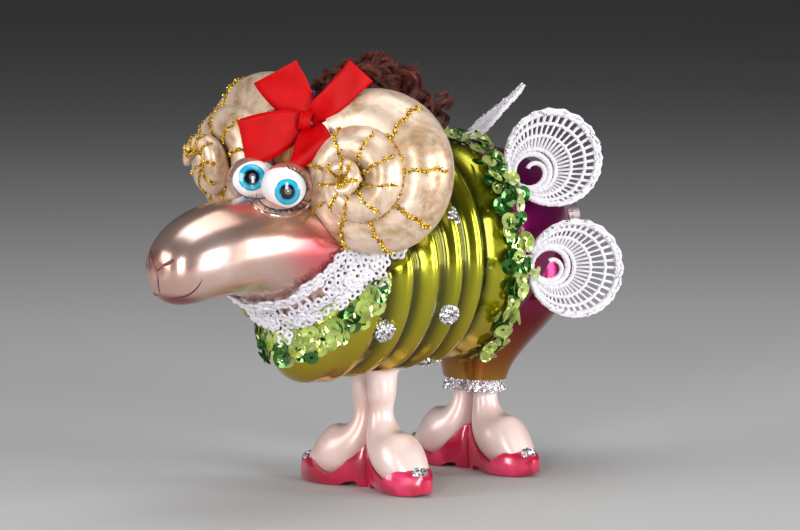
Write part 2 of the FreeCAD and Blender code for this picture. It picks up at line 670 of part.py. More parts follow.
def fan_solid():
    """One crocheted fan, flat: its neck is at the origin and it opens along +X."""
    hub = Vector(FAN_EYE_RADIUS + 1.8, 0, 0)
    centre = Vector(FAN_RADIUS + 0.4, 0, 0)
    disc = Part.makeCylinder(FAN_RADIUS, FAN_THICKNESS, centre)
    holes = [Part.makeCylinder(FAN_EYE_RADIUS, FAN_THICKNESS + 2, hub - Z)]
    for i in range(FAN_SLOTS):
        angle = math.radians(-84 + 168 * i / (FAN_SLOTS - 1))
        ray = Vector(math.cos(angle), math.sin(angle), 0)
        side = Vector(-ray.y, ray.x, 0)
        start = hub + ray * (FAN_EYE_RADIUS + 1.5)
        back = start - centre
        reach = FAN_RADIUS - FAN_BORDER
        length = -back.dot(ray) + math.sqrt(back.dot(ray) ** 2 - back.dot(back) + reach * reach)
        stop = start + ray * length
        corners = [start - side * 0.2, stop - side * 0.8, stop + side * 0.8, start + side * 0.2]
        corners = [corner - Z for corner in corners]
        face = Part.Face(Part.makePolygon(corners + corners[:1]))
        holes.append(face.extrude(Z * (FAN_THICKNESS + 2)))
    return disc.cut(holes)


def lace_fans(body):
    """The fans behind the waist garland: name, angle round the waist, direction, way it faces."""
    fans = {}
    for name, angle, direction, facing in FANS:
        spot, normal = coat_spot(THREAD_Y + FAN_BEHIND_THREAD, angle, -RUMP_STEP)
        direction = Vector(*direction).normalize()
        facing = Vector(*facing)
        facing = facing - direction * facing.dot(direction)
        fan = oriented(fan_solid(), spot, direction, facing)
        fans["lace_fan_" + name] = largest(fan.cut(body))
    return fans


def bow_place(u, v, w):
    """A point given to the bow's right, upwards and towards whoever faces it."""
    turn = math.radians(BOW_TURN)
    right = Vector(math.cos(turn), math.sin(turn), 0)
    out = Vector(math.sin(turn), -math.cos(turn), 0)
    return BOW_KNOT + right * u + Z * v + out * w


def between(stations, steps):
    """More stations on a smooth curve through the given ones."""
    out = []
    for i in range(len(stations) - 1):
        a, b, c, d = (stations[min(max(i + k, 0), len(stations) - 1)] for k in (-1, 0, 1, 2))
        for j in range(steps):
            t = j / steps
            out.append(tuple(0.5 * (2 * q + (r - p) * t + (2 * p - 5 * q + 4 * r - s) * t ** 2
                                    + (3 * q - p - 3 * r + s) * t ** 3) for p, q, r, s in zip(a, b, c, d)))
    return out + [stations[-1]]


def ribbon(stations):
    """A strip of satin through stations (u, v, w, angle across in degrees, half width)."""
    stations = between(stations, 3)
    path = [bow_place(u, v, w) for u, v, w, angle, half_width in stations]
    sections = []
    for i, (u, v, w, angle, half_width) in enumerate(stations):
        turn = math.radians(angle)
        across = (bow_place(math.cos(turn), math.sin(turn), 0) - BOW_KNOT).normalize()
        travel = path[min(i + 1, len(path) - 1)] - path[max(i - 1, 0)]
        across = (across - travel * (across.dot(travel) / travel.dot(travel))).normalize()
        face = across.cross(travel).normalize() * (RIBBON_THICKNESS / 2)
        edge = across * half_width
        corners = [path[i] - edge - face, path[i] + edge - face, path[i] + edge + face, path[i] - edge + face]
        sections.append(Part.makePolygon(corners + corners[:1]))
    return Part.makeLoft(sections, True, True)


BOW_LOOP_RIGHT = (
    (-2.0, -0.3, 0.8, 95, 2.2), (-6.0, -2.0, 3.4, 98, 4.2), (-11.5, -4.4, 4.4, 101, 5.5),
    (-15.6, -6.2, 4.0, 103, 5.8), (-17.2, -6.8, 2.6, 103, 5.8), (-16.0, -6.3, 1.0, 103, 5.8),
    (-10.0, -4.0, 0.4, 100, 5.0), (-2.6, -0.6, -0.8, 95, 2.2))
BOW_LOOP_LEFT = (
    (1.0, -2.0, 0.8, 20, 2.2), (2.4, -4.4, 3.2, 32, 4.6), (3.8, -7.2, 4.4, 39, 6.0),
    (4.8, -9.0, 3.6, 40, 6.2), (5.0, -9.2, 2.4, 40, 6.2), (3.8, -7.0, 1.0, 38, 5.4),
    (1.4, -2.6, -0.6, 24, 2.2))
BOW_TAIL_RIGHT = (
    (-1.6, 2.0, -0.4, 14, 2.2), (-3.6, 5.0, 0.0, 14, 5.2), (-6.2, 9.2, 0.8, 24, 6.1),
    (-8.8, 13.2, 1.6, 40, 6.4))
BOW_TAIL_LEFT = (
    (2.2, 1.2, -0.4, -50, 2.2), (6.0, 4.8, 0.6, -52, 4.3), (11.5, 9.2, 1.0, -54, 4.7),
    (15.8, 14.0, 0.2, -60, 4.2))


def knot(grow=0.0):
    """Knot of the bow."""
    toward = (bow_place(1, 0, 0) - BOW_KNOT, bow_place(0, 0, 1) - BOW_KNOT)
    return oriented(ellipsoid(Vector(0, 0, 0), [r + grow for r in KNOT_RADII]), BOW_KNOT, *toward)


def bow(others):
    """Knot, two loops and two tails of one red ribbon."""
    pieces = {"bow_knot": trimmed(knot(), others)}
    others = others + [knot(SEAT_GAP)]
    for name, stations in (("bow_loop_right", BOW_LOOP_RIGHT), ("bow_loop_left", BOW_LOOP_LEFT),
                           ("bow_tail_right", BOW_TAIL_RIGHT), ("bow_tail_left", BOW_TAIL_LEFT)):
        pieces[name] = trimmed(ribbon(stations), others)
        if "tail" not in name:
            others = others + [pieces[name]]
    return pieces


def bow_tie_wire(others):
    """Ends of the twisted wire that ties the bow on, above and below the knot."""
    ends = []
    for start, stop in WIRE_ENDS:
        low, high = bow_place(*start), bow_place(*stop)
        ends.append(trimmed(Part.makeCylinder(WIRE_RADIUS, (high - low).Length, low, high - low), others))
    return Part.makeCompound(ends)


def hair_tuft(others):
    """A mass of curls on the crown, between the horns and down to the coat."""
    hair = ellipsoid(HAIR_CENTRE, HAIR_RADII)
    for x, y, z, radius in HAIR_CURLS:
        hair = hair.fuse(Part.makeSphere(radius, HAIR_CENTRE + Vector(x, y, z)))
    return trimmed(hair, others)


def shoe_glitter(parts):
    """Glitter cluster on the toe of each shoe."""
    lumps = []
    for which, name in enumerate(("front", "rear")):
        lump = ellipsoid(Vector(SHOE_LENGTH - LEG_X[which] - 3.2, -0.6, 6.2), (2.2, 2.5, 1.7))
        lump = placed_foot(lump, which).cut(parts[name + "_shoe_left"]).cut(parts[name + "_leg_left"])
        lump = largest(lump)
        lumps += [lump, mirrored(lump)]
    return Part.makeCompound(lumps)


def model():
    """Every node of the ornament by name."""
    parts = {}
    coat = torso_solid()
    coat_clear = torso_solid(-SEAT_GAP)
    stops = head_stops(TRIM_GAP)
    parts["torso_shell"] = torso_shell(head_solid(-SEAT_GAP, SPIGOT_LENGTH + 0.5))
    parts["rump_shell"] = rump_shell(coat_clear)
    parts["neck_cap"] = neck_cap()
    parts["head_shell"] = head_shell(coat_clear)
    parts["eye_left"] = eye(1)
    parts["eye_right"] = eye(-1)
    parts["horn_left"], parts["horn_right"] = horn_pair(stops)
    horns_clear = [tipped(horn_solid(TRIM_GAP)), tipped(mirrored(horn_solid(TRIM_GAP)))]
    parts["forelock"] = forelock(stops + horns_clear + [knot(SEAT_GAP)])

    for which, name in enumerate(("front", "rear")):
        leg = placed_foot(leg_solid(which), which)
        if name == "front":
            leg = leg.cut(torso_solid(-LEG_SEAT))
        shoe = shoe_solid(leg_solid(which, TRIM_GAP), LEG_X[which] - LEG_WALL_GAP)
        parts[name + "_leg_left"] = largest(leg)
        parts[name + "_shoe_left"] = largest(placed_foot(shoe, which))
    parts["frill_left"] = largest(frill())
    for name in ("front_leg", "front_shoe", "rear_leg", "rear_shoe", "frill"):
        parts[name + "_right"] = mirrored(parts[name + "_left"])
    parts["shoe_glitter"] = shoe_glitter(parts)

    parts["collar_lace"] = collar_lace(stops + [coat_clear] + horns_clear)
    parts["collar_sequins"] = collar_sequins(coat)
    parts["waist_thread"] = waist_thread()
    parts["waist_sequins"] = waist_sequins()
    parts["coat_glitter"] = glitter_dots(torso_solid(-0.05))
    parts.update(lace_fans(rump_outside(coat_clear)))
    eyes_clear = [eye(1, TRIM_GAP), eye(-1, TRIM_GAP)]
    forelock_clear = forelock([], TRIM_GAP)
    parts.update(bow(stops + horns_clear + eyes_clear + [forelock_clear]))
    parts["bow_tie_wire"] = bow_tie_wire(stops + [parts[name] for name in parts if name.startswith("bow")])
    hair_stops = [parts[name] for name in parts if name.startswith("bow")]
    parts["hair_tuft"] = hair_tuft([stops[1], coat_clear] + horns_clear + hair_stops)
    return parts


def main():
    os.makedirs("parts", exist_ok=True)
    parts = model()
    whole = Part.makeCompound(list(parts.values())).optimalBoundingBox(False, False)
    to_origin = Vector(-whole.Center.x, -whole.Center.y, -whole.ZMin)
    for name, shape in parts.items():
        shape.translate(to_origin)
        shape.exportStep("parts/%s.step" % name)
        print(name, shape.isValid(), len(shape.Solids), round(shape.Volume, 1))
    print("moved by", to_origin)


main()
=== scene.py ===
"""Looks of the dressed-up glass ram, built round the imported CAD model.

Shapes are in millimetres of the modelling frame that the part's source uses; SHIFT takes them to the row
frame.
"""
import json
from math import acos, atan2, cos, hypot, pi, radians, sin, sqrt
from random import choices, gauss, random, seed, uniform

import bmesh
import bpy
from mathutils import Matrix, Vector
from mathutils.bvhtree import BVHTree


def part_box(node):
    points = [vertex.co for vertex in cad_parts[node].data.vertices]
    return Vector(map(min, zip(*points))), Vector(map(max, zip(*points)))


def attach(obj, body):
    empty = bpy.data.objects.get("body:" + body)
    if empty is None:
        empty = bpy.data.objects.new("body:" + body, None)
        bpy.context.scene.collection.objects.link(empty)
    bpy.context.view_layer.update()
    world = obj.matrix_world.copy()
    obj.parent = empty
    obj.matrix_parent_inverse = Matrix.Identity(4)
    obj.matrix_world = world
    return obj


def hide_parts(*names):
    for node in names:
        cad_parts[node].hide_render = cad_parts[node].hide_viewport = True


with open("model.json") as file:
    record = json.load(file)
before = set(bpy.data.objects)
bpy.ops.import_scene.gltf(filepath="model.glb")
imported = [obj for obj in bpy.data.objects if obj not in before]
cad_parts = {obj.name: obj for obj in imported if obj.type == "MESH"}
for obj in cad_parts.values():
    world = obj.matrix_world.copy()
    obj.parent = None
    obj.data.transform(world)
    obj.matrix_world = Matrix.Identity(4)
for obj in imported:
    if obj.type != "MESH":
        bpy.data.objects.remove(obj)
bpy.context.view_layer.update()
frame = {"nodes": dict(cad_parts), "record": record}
NODES = frame["nodes"]

MM = 1000  # millimetres in a metre
WAIST_Y = 38.0  # rear plane of the coat
SHIFT = Vector((
    (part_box("front_shoe_left")[1][0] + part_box("front_shoe_right")[0][0]) / 2 * MM,
    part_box("torso_shell")[1][1] * MM - WAIST_Y,
    0.0))


def mm(point):
    """A point in the row frame, in metres."""
    return (Vector(point) + SHIFT) / MM


def heading(azimuth, elevation):
    """The way so many degrees from the front and above level, and the level way to its right."""
    turn, lift = radians(azimuth), radians(elevation)
    towards = Vector((sin(turn) * cos(lift), -cos(turn) * cos(lift), sin(lift)))
    return towards, Vector((cos(turn), sin(turn), 0))


# ------ materials
class Finish:
    """A procedural material while its nodes are put together."""

    def __init__(self, name, **values):
        self.material = bpy.data.materials.new(name)
        self.material.use_nodes = True
        self.tree = self.material.node_tree
        self.shader = self.tree.nodes["Principled BSDF"]
        for key, value in values.items():
            self.put(self.shader.inputs[key.replace("_", " ").title().replace("Ior", "IOR")], value)
        self.place = self.tree.nodes.new("ShaderNodeTexCoord").outputs["Object"]

    def put(self, socket, value):
        if isinstance(value, bpy.types.NodeSocket):
            self.tree.links.new(value, socket)
        elif hasattr(value, "__len__") and len(value) == 3 and socket.type == "RGBA":
            socket.default_value = (*value, 1.0)
        else:
            socket.default_value = value

    def node(self, kind, output=0, settings=None, **inputs):
        """A node's output; inputs go by name, or by number after an i."""
        made = self.tree.nodes.new("ShaderNode" + kind)
        for key, value in (settings or {}).items():
            setattr(made, key, value)
        for key, value in inputs.items():
            socket = made.inputs[int(key[1:])] if key[0] == "i" and key[1:].isdigit() else made.inputs[key]
            self.put(socket, value)
        return made.outputs[output]

    def noise(self, scale, detail=3.0, rough=0.55, warp=0.0):
        return self.node("TexNoise", Vector=self.place, Scale=scale, Detail=detail, Roughness=rough,
                         Distortion=warp)

    def ramp(self, factor, *stops):
        made = self.tree.nodes.new("ShaderNodeValToRGB")
        self.put(made.inputs[0], factor)
        elements = made.color_ramp.elements
        for i, (at, colour) in enumerate(stops):
            element = elements[i] if i < 2 else elements.new(at)
            element.position = at
            colour = (colour,) * 3 if isinstance(colour, (int, float)) else colour
            element.color = (*colour[:3], 1.0)
        return made.outputs[0]

    def mix(self, factor, a, b):
        made = self.tree.nodes.new("ShaderNodeMix")
        made.data_type = "RGBA"
        self.put(made.inputs[0], factor)
        self.put(made.inputs[6], a)
        self.put(made.inputs[7], b)
        return made.outputs[2]

    def maths(self, operation, a, b=0.0):
        return self.node("Math", 0, {"operation": operation}, i0=a, i1=b)

    def times(self, a, b):
        return self.maths("MULTIPLY", a, b)

    def vector(self, operation, a, b=(0, 0, 0), output=0):
        return self.node("VectorMath", output, {"operation": operation}, i0=a, i1=b)

    def fade(self, value, start, stop, low=0.0, high=1.0, smooth=False):
        """low where the value is at start, high where it is at stop."""
        settings = {"interpolation_type": "SMOOTHSTEP"} if smooth else None
        return self.node("MapRange", 0, settings, i0=value, i1=start, i2=stop, i3=low, i4=high)

    def axis(self, name, vector=None):
        return self.node("SeparateXYZ", name, i0=vector or self.place)

    def blob(self, centre, radii, soft):
        """1 inside an ellipsoid of the modelling frame, 0 outside it."""
        mapping = self.tree.nodes.new("ShaderNodeMapping")
        mapping.vector_type = "TEXTURE"
        self.put(mapping.inputs["Vector"], self.place)
        mapping.inputs["Location"].default_value = mm(centre)
        mapping.inputs["Scale"].default_value = [r / MM for r in radii]
        reach = self.vector("LENGTH", mapping.outputs[0], output="Value")
        return self.fade(reach, 1 + soft, 1 - soft, smooth=True)

    def bump(self, height, depth, strength):
        """A normal for a relief so many millimetres deep."""
        made = self.tree.nodes.new("ShaderNodeBump")
        made.inputs["Distance"].default_value = depth / MM
        made.inputs["Strength"].default_value = strength
        self.put(made.inputs["Height"], height)
        return made.outputs[0]

    def done(self, **sockets):
        for key, value in sockets.items():
            self.put(self.shader.inputs[key.replace("_", " ").title()], value)
        return self.material


def shaded(colour, share):
    """A lighter or darker tone of a colour."""
    return [min(1, share * c) for c in colour]


def glass_lacquer(name, roughness):
    return Finish(name, metallic=0.9, roughness=roughness, coat_weight=0.35, coat_roughness=0.12)


ROLL_CREASES = (-12.0, -3.0, 8.0, 16.5, 25.5, 44.0)  # creases between the rolls of the coat
CREASE_SHADE_REACH, CREASE_SHADE_SHARE = 3.6, 0.86  # how far and how much painted shade darkens the coat at each crease
BELLY_GOLD_Z = (60.0, 34.0)  # heights between which the green turns golden
HEM_GOLD_Y, HEM_GOLD_REACH = 33.0, 4.0  # where the coat turns brown before the waist


def coat_material():
    f = glass_lacquer("green_gold_lacquer", 0.19)
    y, z = f.axis("Y"), f.axis("Z")
    streaks = f.noise(35, 2, 0.5, warp=0.6)
    green = f.ramp(streaks, (0.3, (0.33, 0.36, 0.012)), (0.7, (0.52, 0.48, 0.02)))
    low = f.fade(z, BELLY_GOLD_Z[0] / MM, BELLY_GOLD_Z[1] / MM, 0.0, 0.6)
    colour = f.mix(low, green, (0.5, 0.28, 0.03))
    # painted shade: the coat's colour turns near black towards each crease between the rolls
    for crease in ROLL_CREASES:
        apart = f.maths("ABSOLUTE", f.maths("SUBTRACT", y, (SHIFT.y + crease) / MM))
        fold = f.fade(apart, 0.0, CREASE_SHADE_REACH / MM, CREASE_SHADE_SHARE, 0.0, smooth=True)
        colour = f.mix(fold, colour, (0.035, 0.035, 0.002))
    past_hem = f.maths("SUBTRACT", y, (SHIFT.y + HEM_GOLD_Y) / MM)
    brown = f.fade(past_hem, 0.0, HEM_GOLD_REACH / MM, 0.0, 0.6)
    return f.done(base_color=f.mix(brown, colour, (0.3, 0.12, 0.02)),
                  normal=f.bump(f.noise(900, 2, 0.5), 0.02, 0.25))


BREECHES_FADE_Z = (30.0, 100.0)  # from the gold of the hem to magenta
BREECHES_DRIFT = 12.0  # how far the colours wander up and down


def rump_material():
    f = glass_lacquer("magenta_red_lacquer", 0.2)
    height = f.maths("ADD", f.axis("Z"), f.times(f.noise(30, 2), BREECHES_DRIFT / MM))
    colour = f.ramp(f.fade(height, BREECHES_FADE_Z[0] / MM, BREECHES_FADE_Z[1] / MM),
                    (0.0, (0.42, 0.25, 0.03)), (0.14, (0.3, 0.085, 0.012)), (0.3, (0.17, 0.006, 0.012)),
                    (0.56, (0.3, 0.002, 0.1)), (1.0, (0.55, 0.004, 0.33)))
    return f.done(base_color=colour, normal=f.bump(f.noise(700, 2), 0.02, 0.25))


FACE_TINTS = (
    # centre, radii, softness of the edge, strength, colour
    ((-0.5, -76.5, 69.5), (4.2, 4.0, 3.0), 0.5, 0.75, (0.36, 0.1, 0.08)),  # between the nostrils
    ((1, -76, 65), (6, 5, 9), 0.9, 0.45, (0.5, 0.24, 0.18)),  # upper lip
    ((2, -73.5, 58.2), (9, 7, 2.6), 0.5, 0.85, (0.22, 0.012, 0.03)),  # mouth
    ((5, -52, 82), (14, 16, 5), 0.8, 0.55, (0.5, 0.26, 0.16)),  # bridge of the muzzle
    ((19, -36, 70), (5, 9, 8), 0.8, 0.8, (0.72, 0.05, 0.1)),  # cheeks
    ((-19, -36, 70), (5, 9, 8), 0.8, 0.8, (0.72, 0.05, 0.1)),
    ((10, -60, 60), (7, 8, 4), 0.9, 0.35, (0.6, 0.42, 0.12)),  # golden jaw
)


def pearl_skin(f):
    return f.ramp(f.noise(40, 3, 0.6, warp=0.8), (0.3, (0.58, 0.34, 0.27)), (0.5, (0.7, 0.47, 0.4)),
                  (0.75, (0.82, 0.62, 0.57)))


def face_material():
    f = Finish("pearl_face", metallic=0.85, roughness=0.24, coat_weight=0.2, coat_roughness=0.15)
    colour = pearl_skin(f)
    for centre, radii, soft, strength, tint in FACE_TINTS:
        colour = f.mix(f.times(f.blob(centre, radii, soft), strength), colour, tint)
    return f.done(base_color=colour, normal=f.bump(f.noise(1500, 2, 0.6), 0.015, 0.25))


def horn_material():
    f = Finish("pearl_horn", metallic=0.3, roughness=0.36, coat_weight=0.4, coat_roughness=0.2)
    streak = f.noise(60, 5, 0.65, warp=1.4)
    fleck = f.noise(420, 3, 0.6)
    colour = f.ramp(streak, (0.28, (0.24, 0.12, 0.05)), (0.42, (0.5, 0.33, 0.19)),
                    (0.58, (0.74, 0.57, 0.44)), (0.8, (0.5, 0.29, 0.13)))
    colour = f.mix(f.ramp(fleck, (0.45, 0.0), (0.75, 0.45)), colour, (0.82, 0.7, 0.6))
    return f.done(base_color=colour, normal=f.bump(f.noise(260, 3, 0.6), 0.12, 0.6))


GRAIN_LEAN = 1.3  # how far the grains lean out of the surface


def glitter(name, dark, light, size=2600.0, metallic=0.85):
    """Grains of glitter in clear glue: every grain lies its own way."""
    f = Finish(name, metallic=metallic, roughness=0.22)
    tone = f.node("TexVoronoi", "Color", Vector=f.place, Scale=size)
    lean = f.vector("MULTIPLY", f.vector("SUBTRACT", tone, (0.5,) * 3), (GRAIN_LEAN,) * 3)
    normal = f.vector("NORMALIZE", f.vector("ADD", lean, f.node("NewGeometry", "Normal")))
    shade = f.ramp(f.axis("X", tone), (0.0, dark), (0.55, light), (1.0, shaded(light, 1.25)))
    return f.done(base_color=shade, normal=normal)


def mottled(name, mottle, stops, relief, depth, strength, **values):
    """A colour that drifts between stops, on a fine relief; mottle and relief are noises."""
    f = Finish(name, **values)
    return f.done(base_color=f.ramp(f.noise(*mottle), *stops),
                  normal=f.bump(f.noise(*relief), depth, strength))


WEAVE = 2200.0  # scale of the pattern that stands for threads


def cloth(name, colour):
    f = Finish(name, roughness=0.85, sheen_weight=0.3, sheen_roughness=0.4)
    tone = f.mix(f.ramp(f.noise(WEAVE / 6, 3), (0.3, 0.0), (0.7, 0.5)), colour, shaded(colour, 0.78))
    return f.done(base_color=tone, normal=f.bump(f.noise(WEAVE, 2), 0.08, 0.7))


def sequin_material(name, base, shift, metallic=0.75):
    """Foil that changes its tint where it is seen at a slant."""
    f = Finish(name, metallic=metallic, roughness=0.12, coat_weight=0.8, coat_roughness=0.03)
    weight = f.node("LayerWeight", "Facing", Blend=0.45)
    tint = f.mix(weight, base, shift)
    patch = f.ramp(f.noise(330, 2, 0.5), (0.35, 0.0), (0.65, 1.0))
    return f.done(base_color=f.mix(f.times(patch, 0.6), tint, shaded(base, 2.0)))


def satin_material():
    f = Finish("red_satin", roughness=0.42, anisotropic=0.6, specular_ior_level=0.12)
    ribs = f.node("TexWave", 0, {"bands_direction": "DIAGONAL"}, Vector=f.node("UVMap"), Scale=16.0,
                  Distortion=0.4, Detail=1.0)
    tone = f.ramp(f.noise(120, 3), (0.3, (0.42, 0.0, 0.001)), (0.7, (0.62, 0.001, 0.003)))
    return f.done(base_color=f.mix(f.times(ribs, 0.18), tone, (0.35, 0.0, 0.0)),
                  normal=f.bump(ribs, 0.05, 0.5))


def hair_material():
    f = Finish("brown_hair", roughness=0.38, anisotropic=0.4, specular_ior_level=0.45)
    return f.done(base_color=f.ramp(f.noise(240, 3, 0.6), (0.3, (0.035, 0.006, 0.004)),
                                    (0.55, (0.115, 0.018, 0.009)), (0.8, (0.24, 0.055, 0.025))))


def plain(name, colour, depth=0.03, **values):
    f = Finish(name, **values)
    tone = f.mix(f.ramp(f.noise(300, 3), (0.35, 0.0), (0.7, 0.6)), colour, shaded(colour, 0.7))
    return f.done(base_color=tone, normal=f.bump(f.noise(1200, 2), depth, 0.5))


HEAD_PIVOT, HEAD_LIFT, HEAD_ROLL = Vector((0, -17.0, 86.0)), radians(3.8), radians(4.0)
TIP = (Matrix.Translation(HEAD_PIVOT) @ Matrix.Rotation(-HEAD_LIFT, 4, "X")
       @ Matrix.Rotation(HEAD_ROLL, 4, "Y") @ Matrix.Translation(-HEAD_PIVOT))

# The eyes look ahead and to the animal's left, and their paint is laid out across that way.
EYE_BALL = Vector((6.5, -35.8, 86.2))
EYE_RADII = Vector((7.6, 6.7, 6.6))
EYE_FORWARD = 1.3  # along the gaze
GAZE, GAZE_RIGHT = heading(43.0, 6.5)
GAZE_UP = GAZE.cross(GAZE_RIGHT)
EYES = {
    # left, right: centre of the white, its half width and height, iris centre, iris radius
    1: ((-1.6, -0.6), (6.9, 5.7), (0.2, -1.5), 3.45),
    -1: ((1.2, 0.0), (6.7, 5.2), (-0.2, 0.65), 3.65),
}
PUPIL_RADIUS = 2.0
GLINT_OFFSET = (0.25, 0.15)  # from the iris' centre
GLINT_RING, GLINT_HOLE, GLINT_DOT = 0.95, 0.5, 0.26  # radii of the ring of light and its dot


def eye_centre(side):
    return TIP @ Vector((EYE_BALL.x * side, EYE_BALL.y, EYE_BALL.z)) + GAZE * EYE_FORWARD


def eye_material(side, name):
    """A pearly ball, painted with a white, a blue iris, a black pupil and a ring of light."""
    white_at, white_half, iris_at, iris_radius = EYES[side]
    f = Finish("painted_eye_" + name, roughness=0.14, coat_weight=0.6, coat_roughness=0.05)
    out = f.vector("SUBTRACT", f.place, mm(eye_centre(side)))
    across, upward, forward = (f.times(f.vector("DOT_PRODUCT", out, way, "Value"), MM)
                               for way in (GAZE_RIGHT, GAZE_UP, GAZE))
    front = f.fade(forward, 0.5, 1.0)

    def reach(centre, half_width, half_height):
        """0 in the middle of an oval, 1 on its edge."""
        a = f.maths("DIVIDE", f.maths("SUBTRACT", across, centre[0]), half_width)
        b = f.maths("DIVIDE", f.maths("SUBTRACT", upward, centre[1]), half_height)
        return f.maths("SQRT", f.maths("ADD", f.times(a, a), f.times(b, b)))

    def disc(centre, radius, inner, outer, half_height=None):
        """1 inside a disc or an oval, fading to 0 between two shares of its size."""
        return f.fade(reach(centre, radius, half_height or radius), outer, inner, smooth=True)

    white = f.times(disc(white_at, white_half[0], 0.97, 1.01, white_half[1]), front)
    sclera = f.ramp(f.noise(160, 2), (0.3, (0.8, 0.78, 0.8)), (0.7, (0.93, 0.91, 0.92)))
    colour = f.mix(white, pearl_skin(f), sclera)

    rim = f.maths("ADD", reach(iris_at, iris_radius, iris_radius), f.times(f.noise(900, 2), 0.12))
    iris = f.ramp(rim, (0.62, (0.005, 0.1, 0.22)), (0.72, (0.01, 0.36, 0.56)), (0.85, (0.03, 0.5, 0.7)),
                  (1.0, (0.01, 0.3, 0.5)))
    colour = f.mix(f.times(disc(iris_at, iris_radius, 0.97, 1.02), front), colour, iris)
    pupil = f.times(disc(iris_at, PUPIL_RADIUS, 0.95, 1.02), front)
    colour = f.mix(pupil, colour, (0.004, 0.003, 0.005))

    glint_at = (iris_at[0] + GLINT_OFFSET[0], iris_at[1] + GLINT_OFFSET[1])
    glint = f.maths("SUBTRACT", disc(glint_at, GLINT_RING, 0.85, 1.05), disc(glint_at, GLINT_HOLE, 0.8, 1.1))
    colour = f.mix(f.times(glint, 0.3), colour, (0.5, 0.52, 0.58))
    dot = f.times(disc(glint_at, GLINT_DOT, 0.7, 1.2), front)
    colour = f.mix(f.times(dot, 0.9), colour, (0.85, 0.86, 0.88))
    return f.done(base_color=colour, metallic=f.fade(white, 0.0, 1.0, 0.65, 0.0),
                  normal=f.bump(f.noise(900, 2), 0.01, 0.2))


MATERIALS = {
    "coat_glass": coat_material(),
    "rump_glass": rump_material(),
    "face_glass": face_material(),
    "horn_glass": horn_material(),
    "leg_glass": mottled(
        "pearl_leg", (60, 3, 0.5, 0.5), ((0.3, (0.66, 0.44, 0.39)), (0.7, (0.84, 0.7, 0.67))),
        (1200, 2), 0.015, 0.25, metallic=0.12, roughness=0.34, coat_weight=0.35, coat_roughness=0.2),
    "shoe_lacquer": mottled(
        "red_pink_lacquer", (90, 3, 0.5, 0.5),
        ((0.3, (0.3, 0.003, 0.022)), (0.55, (0.55, 0.01, 0.06)), (0.75, (0.8, 0.06, 0.18))),
        (500, 3), 0.04, 0.3, metallic=0.1, roughness=0.22, coat_weight=0.8, coat_roughness=0.08),
    "cap_metal": plain("dull_cap", (0.4, 0.33, 0.32), metallic=0.9, roughness=0.42),
    "lock_paint": plain("painted_locks", (0.66, 0.28, 0.09), 0.08, roughness=0.35, coat_weight=0.5),
    "frill_glitter": glitter("frill_glitter", (0.38, 0.28, 0.34), (0.86, 0.78, 0.84), 2200, 0.6),
    "silver_glitter": glitter("silver_glitter", (0.14, 0.13, 0.18), (0.8, 0.8, 0.86), 2300),
    "gold_glitter": glitter("gold_glitter", (0.35, 0.17, 0.01), (0.9, 0.6, 0.08)),
    "fan_glitter": glitter("fan_glitter", (0.45, 0.4, 0.55), (0.92, 0.9, 0.97), metallic=0.5),
    "white_lace": cloth("white_lace", (0.74, 0.71, 0.76)),
    "green_sequin": sequin_material("green_sequin", (0.34, 0.44, 0.09), (0.52, 0.52, 0.3), 0.45),
    "dark_sequin": sequin_material("dark_sequin", (0.018, 0.11, 0.01), (0.08, 0.3, 0.08)),
    "thread": cloth("brown_thread", (0.3, 0.1, 0.03)),
    "red_ribbon": satin_material(),
    "purple_wire": plain("purple_wire", (0.16, 0.04, 0.22), metallic=0.6, roughness=0.3),
    "hair": hair_material(),
    "black_line": plain("black_line", (0.012, 0.006, 0.008), roughness=0.3, coat_weight=0.6),
    "mouth_line": plain("mouth_line", (0.1, 0.012, 0.015), roughness=0.3, coat_weight=0.6),
}

for row in frame["record"]["subparts"]:
    node, key = row["node"], row["material_slot"]
    if node in NODES and key in MATERIALS:
        NODES[node].data.materials.clear()
        NODES[node].data.materials.append(MATERIALS[key])


# ------ ways to make pieces
def linked(name, data):
    obj = bpy.data.objects.new(name, data)
    bpy.context.collection.objects.link(obj)
    return obj


def add_piece(name, mesh, material, smooth=True):
    """Make a mesh in metres of the row frame a piece of the part."""
    mesh.polygons.foreach_set("use_smooth", [smooth] * len(mesh.polygons))
    mesh.materials.append(material)
    obj = linked(name, mesh)
    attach(obj, "root")
    return obj


def from_points(name, points, faces, material, smooth=True, uvs=None):
    """A piece from points in the row frame's millimetres."""
    mesh = bpy.data.meshes.new(name)
    mesh.from_pydata([tuple(p / MM) for p in points], [], faces)
    mesh.update()
    if uvs:
        layer = mesh.uv_layers.new(name="UVMap")
        for loop in mesh.loops:
            layer.data[loop.index].uv = uvs[loop.vertex_index]
    return add_piece(name, mesh, MATERIALS[material], smooth)


def from_ball(name, ball, centre, swell, material):
    """A piece from a unit ball whose points swell() takes to their places round the centre."""
    for v in ball.verts:
        v.co = mm(centre + swell(v.co))
    mesh = bpy.data.meshes.new(name)
    ball.to_mesh(mesh)
    ball.free()
    return add_piece(name, mesh, material)


def stretched(point, radii):
    return Vector((point.x * radii.x, point.y * radii.y, point.z * radii.z))


def thicken(piece, thickness, offset):
    solid = piece.modifiers.new("thickness", "SOLIDIFY")
    solid.thickness = thickness / MM
    solid.offset = offset


def sheet_faces(rows, columns):
    """The faces of a sheet whose points run row by row."""
    corners = [i * (columns + 1) + j for i in range(rows) for j in range(columns)]
    return [(a, a + 1, a + columns + 2, a + columns + 1) for a in corners]


def random_vector(spread):
    return Vector([gauss(0, spread) for _ in range(3)])


class Gathered:
    """Many small shapes in one mesh, in the row frame's millimetres."""
    smooth = True

    def __init__(self):
        self.points, self.faces = [], []

    def finish(self, name, material, slot=None):
        return from_points(name, self.points, self.faces, material, self.smooth)


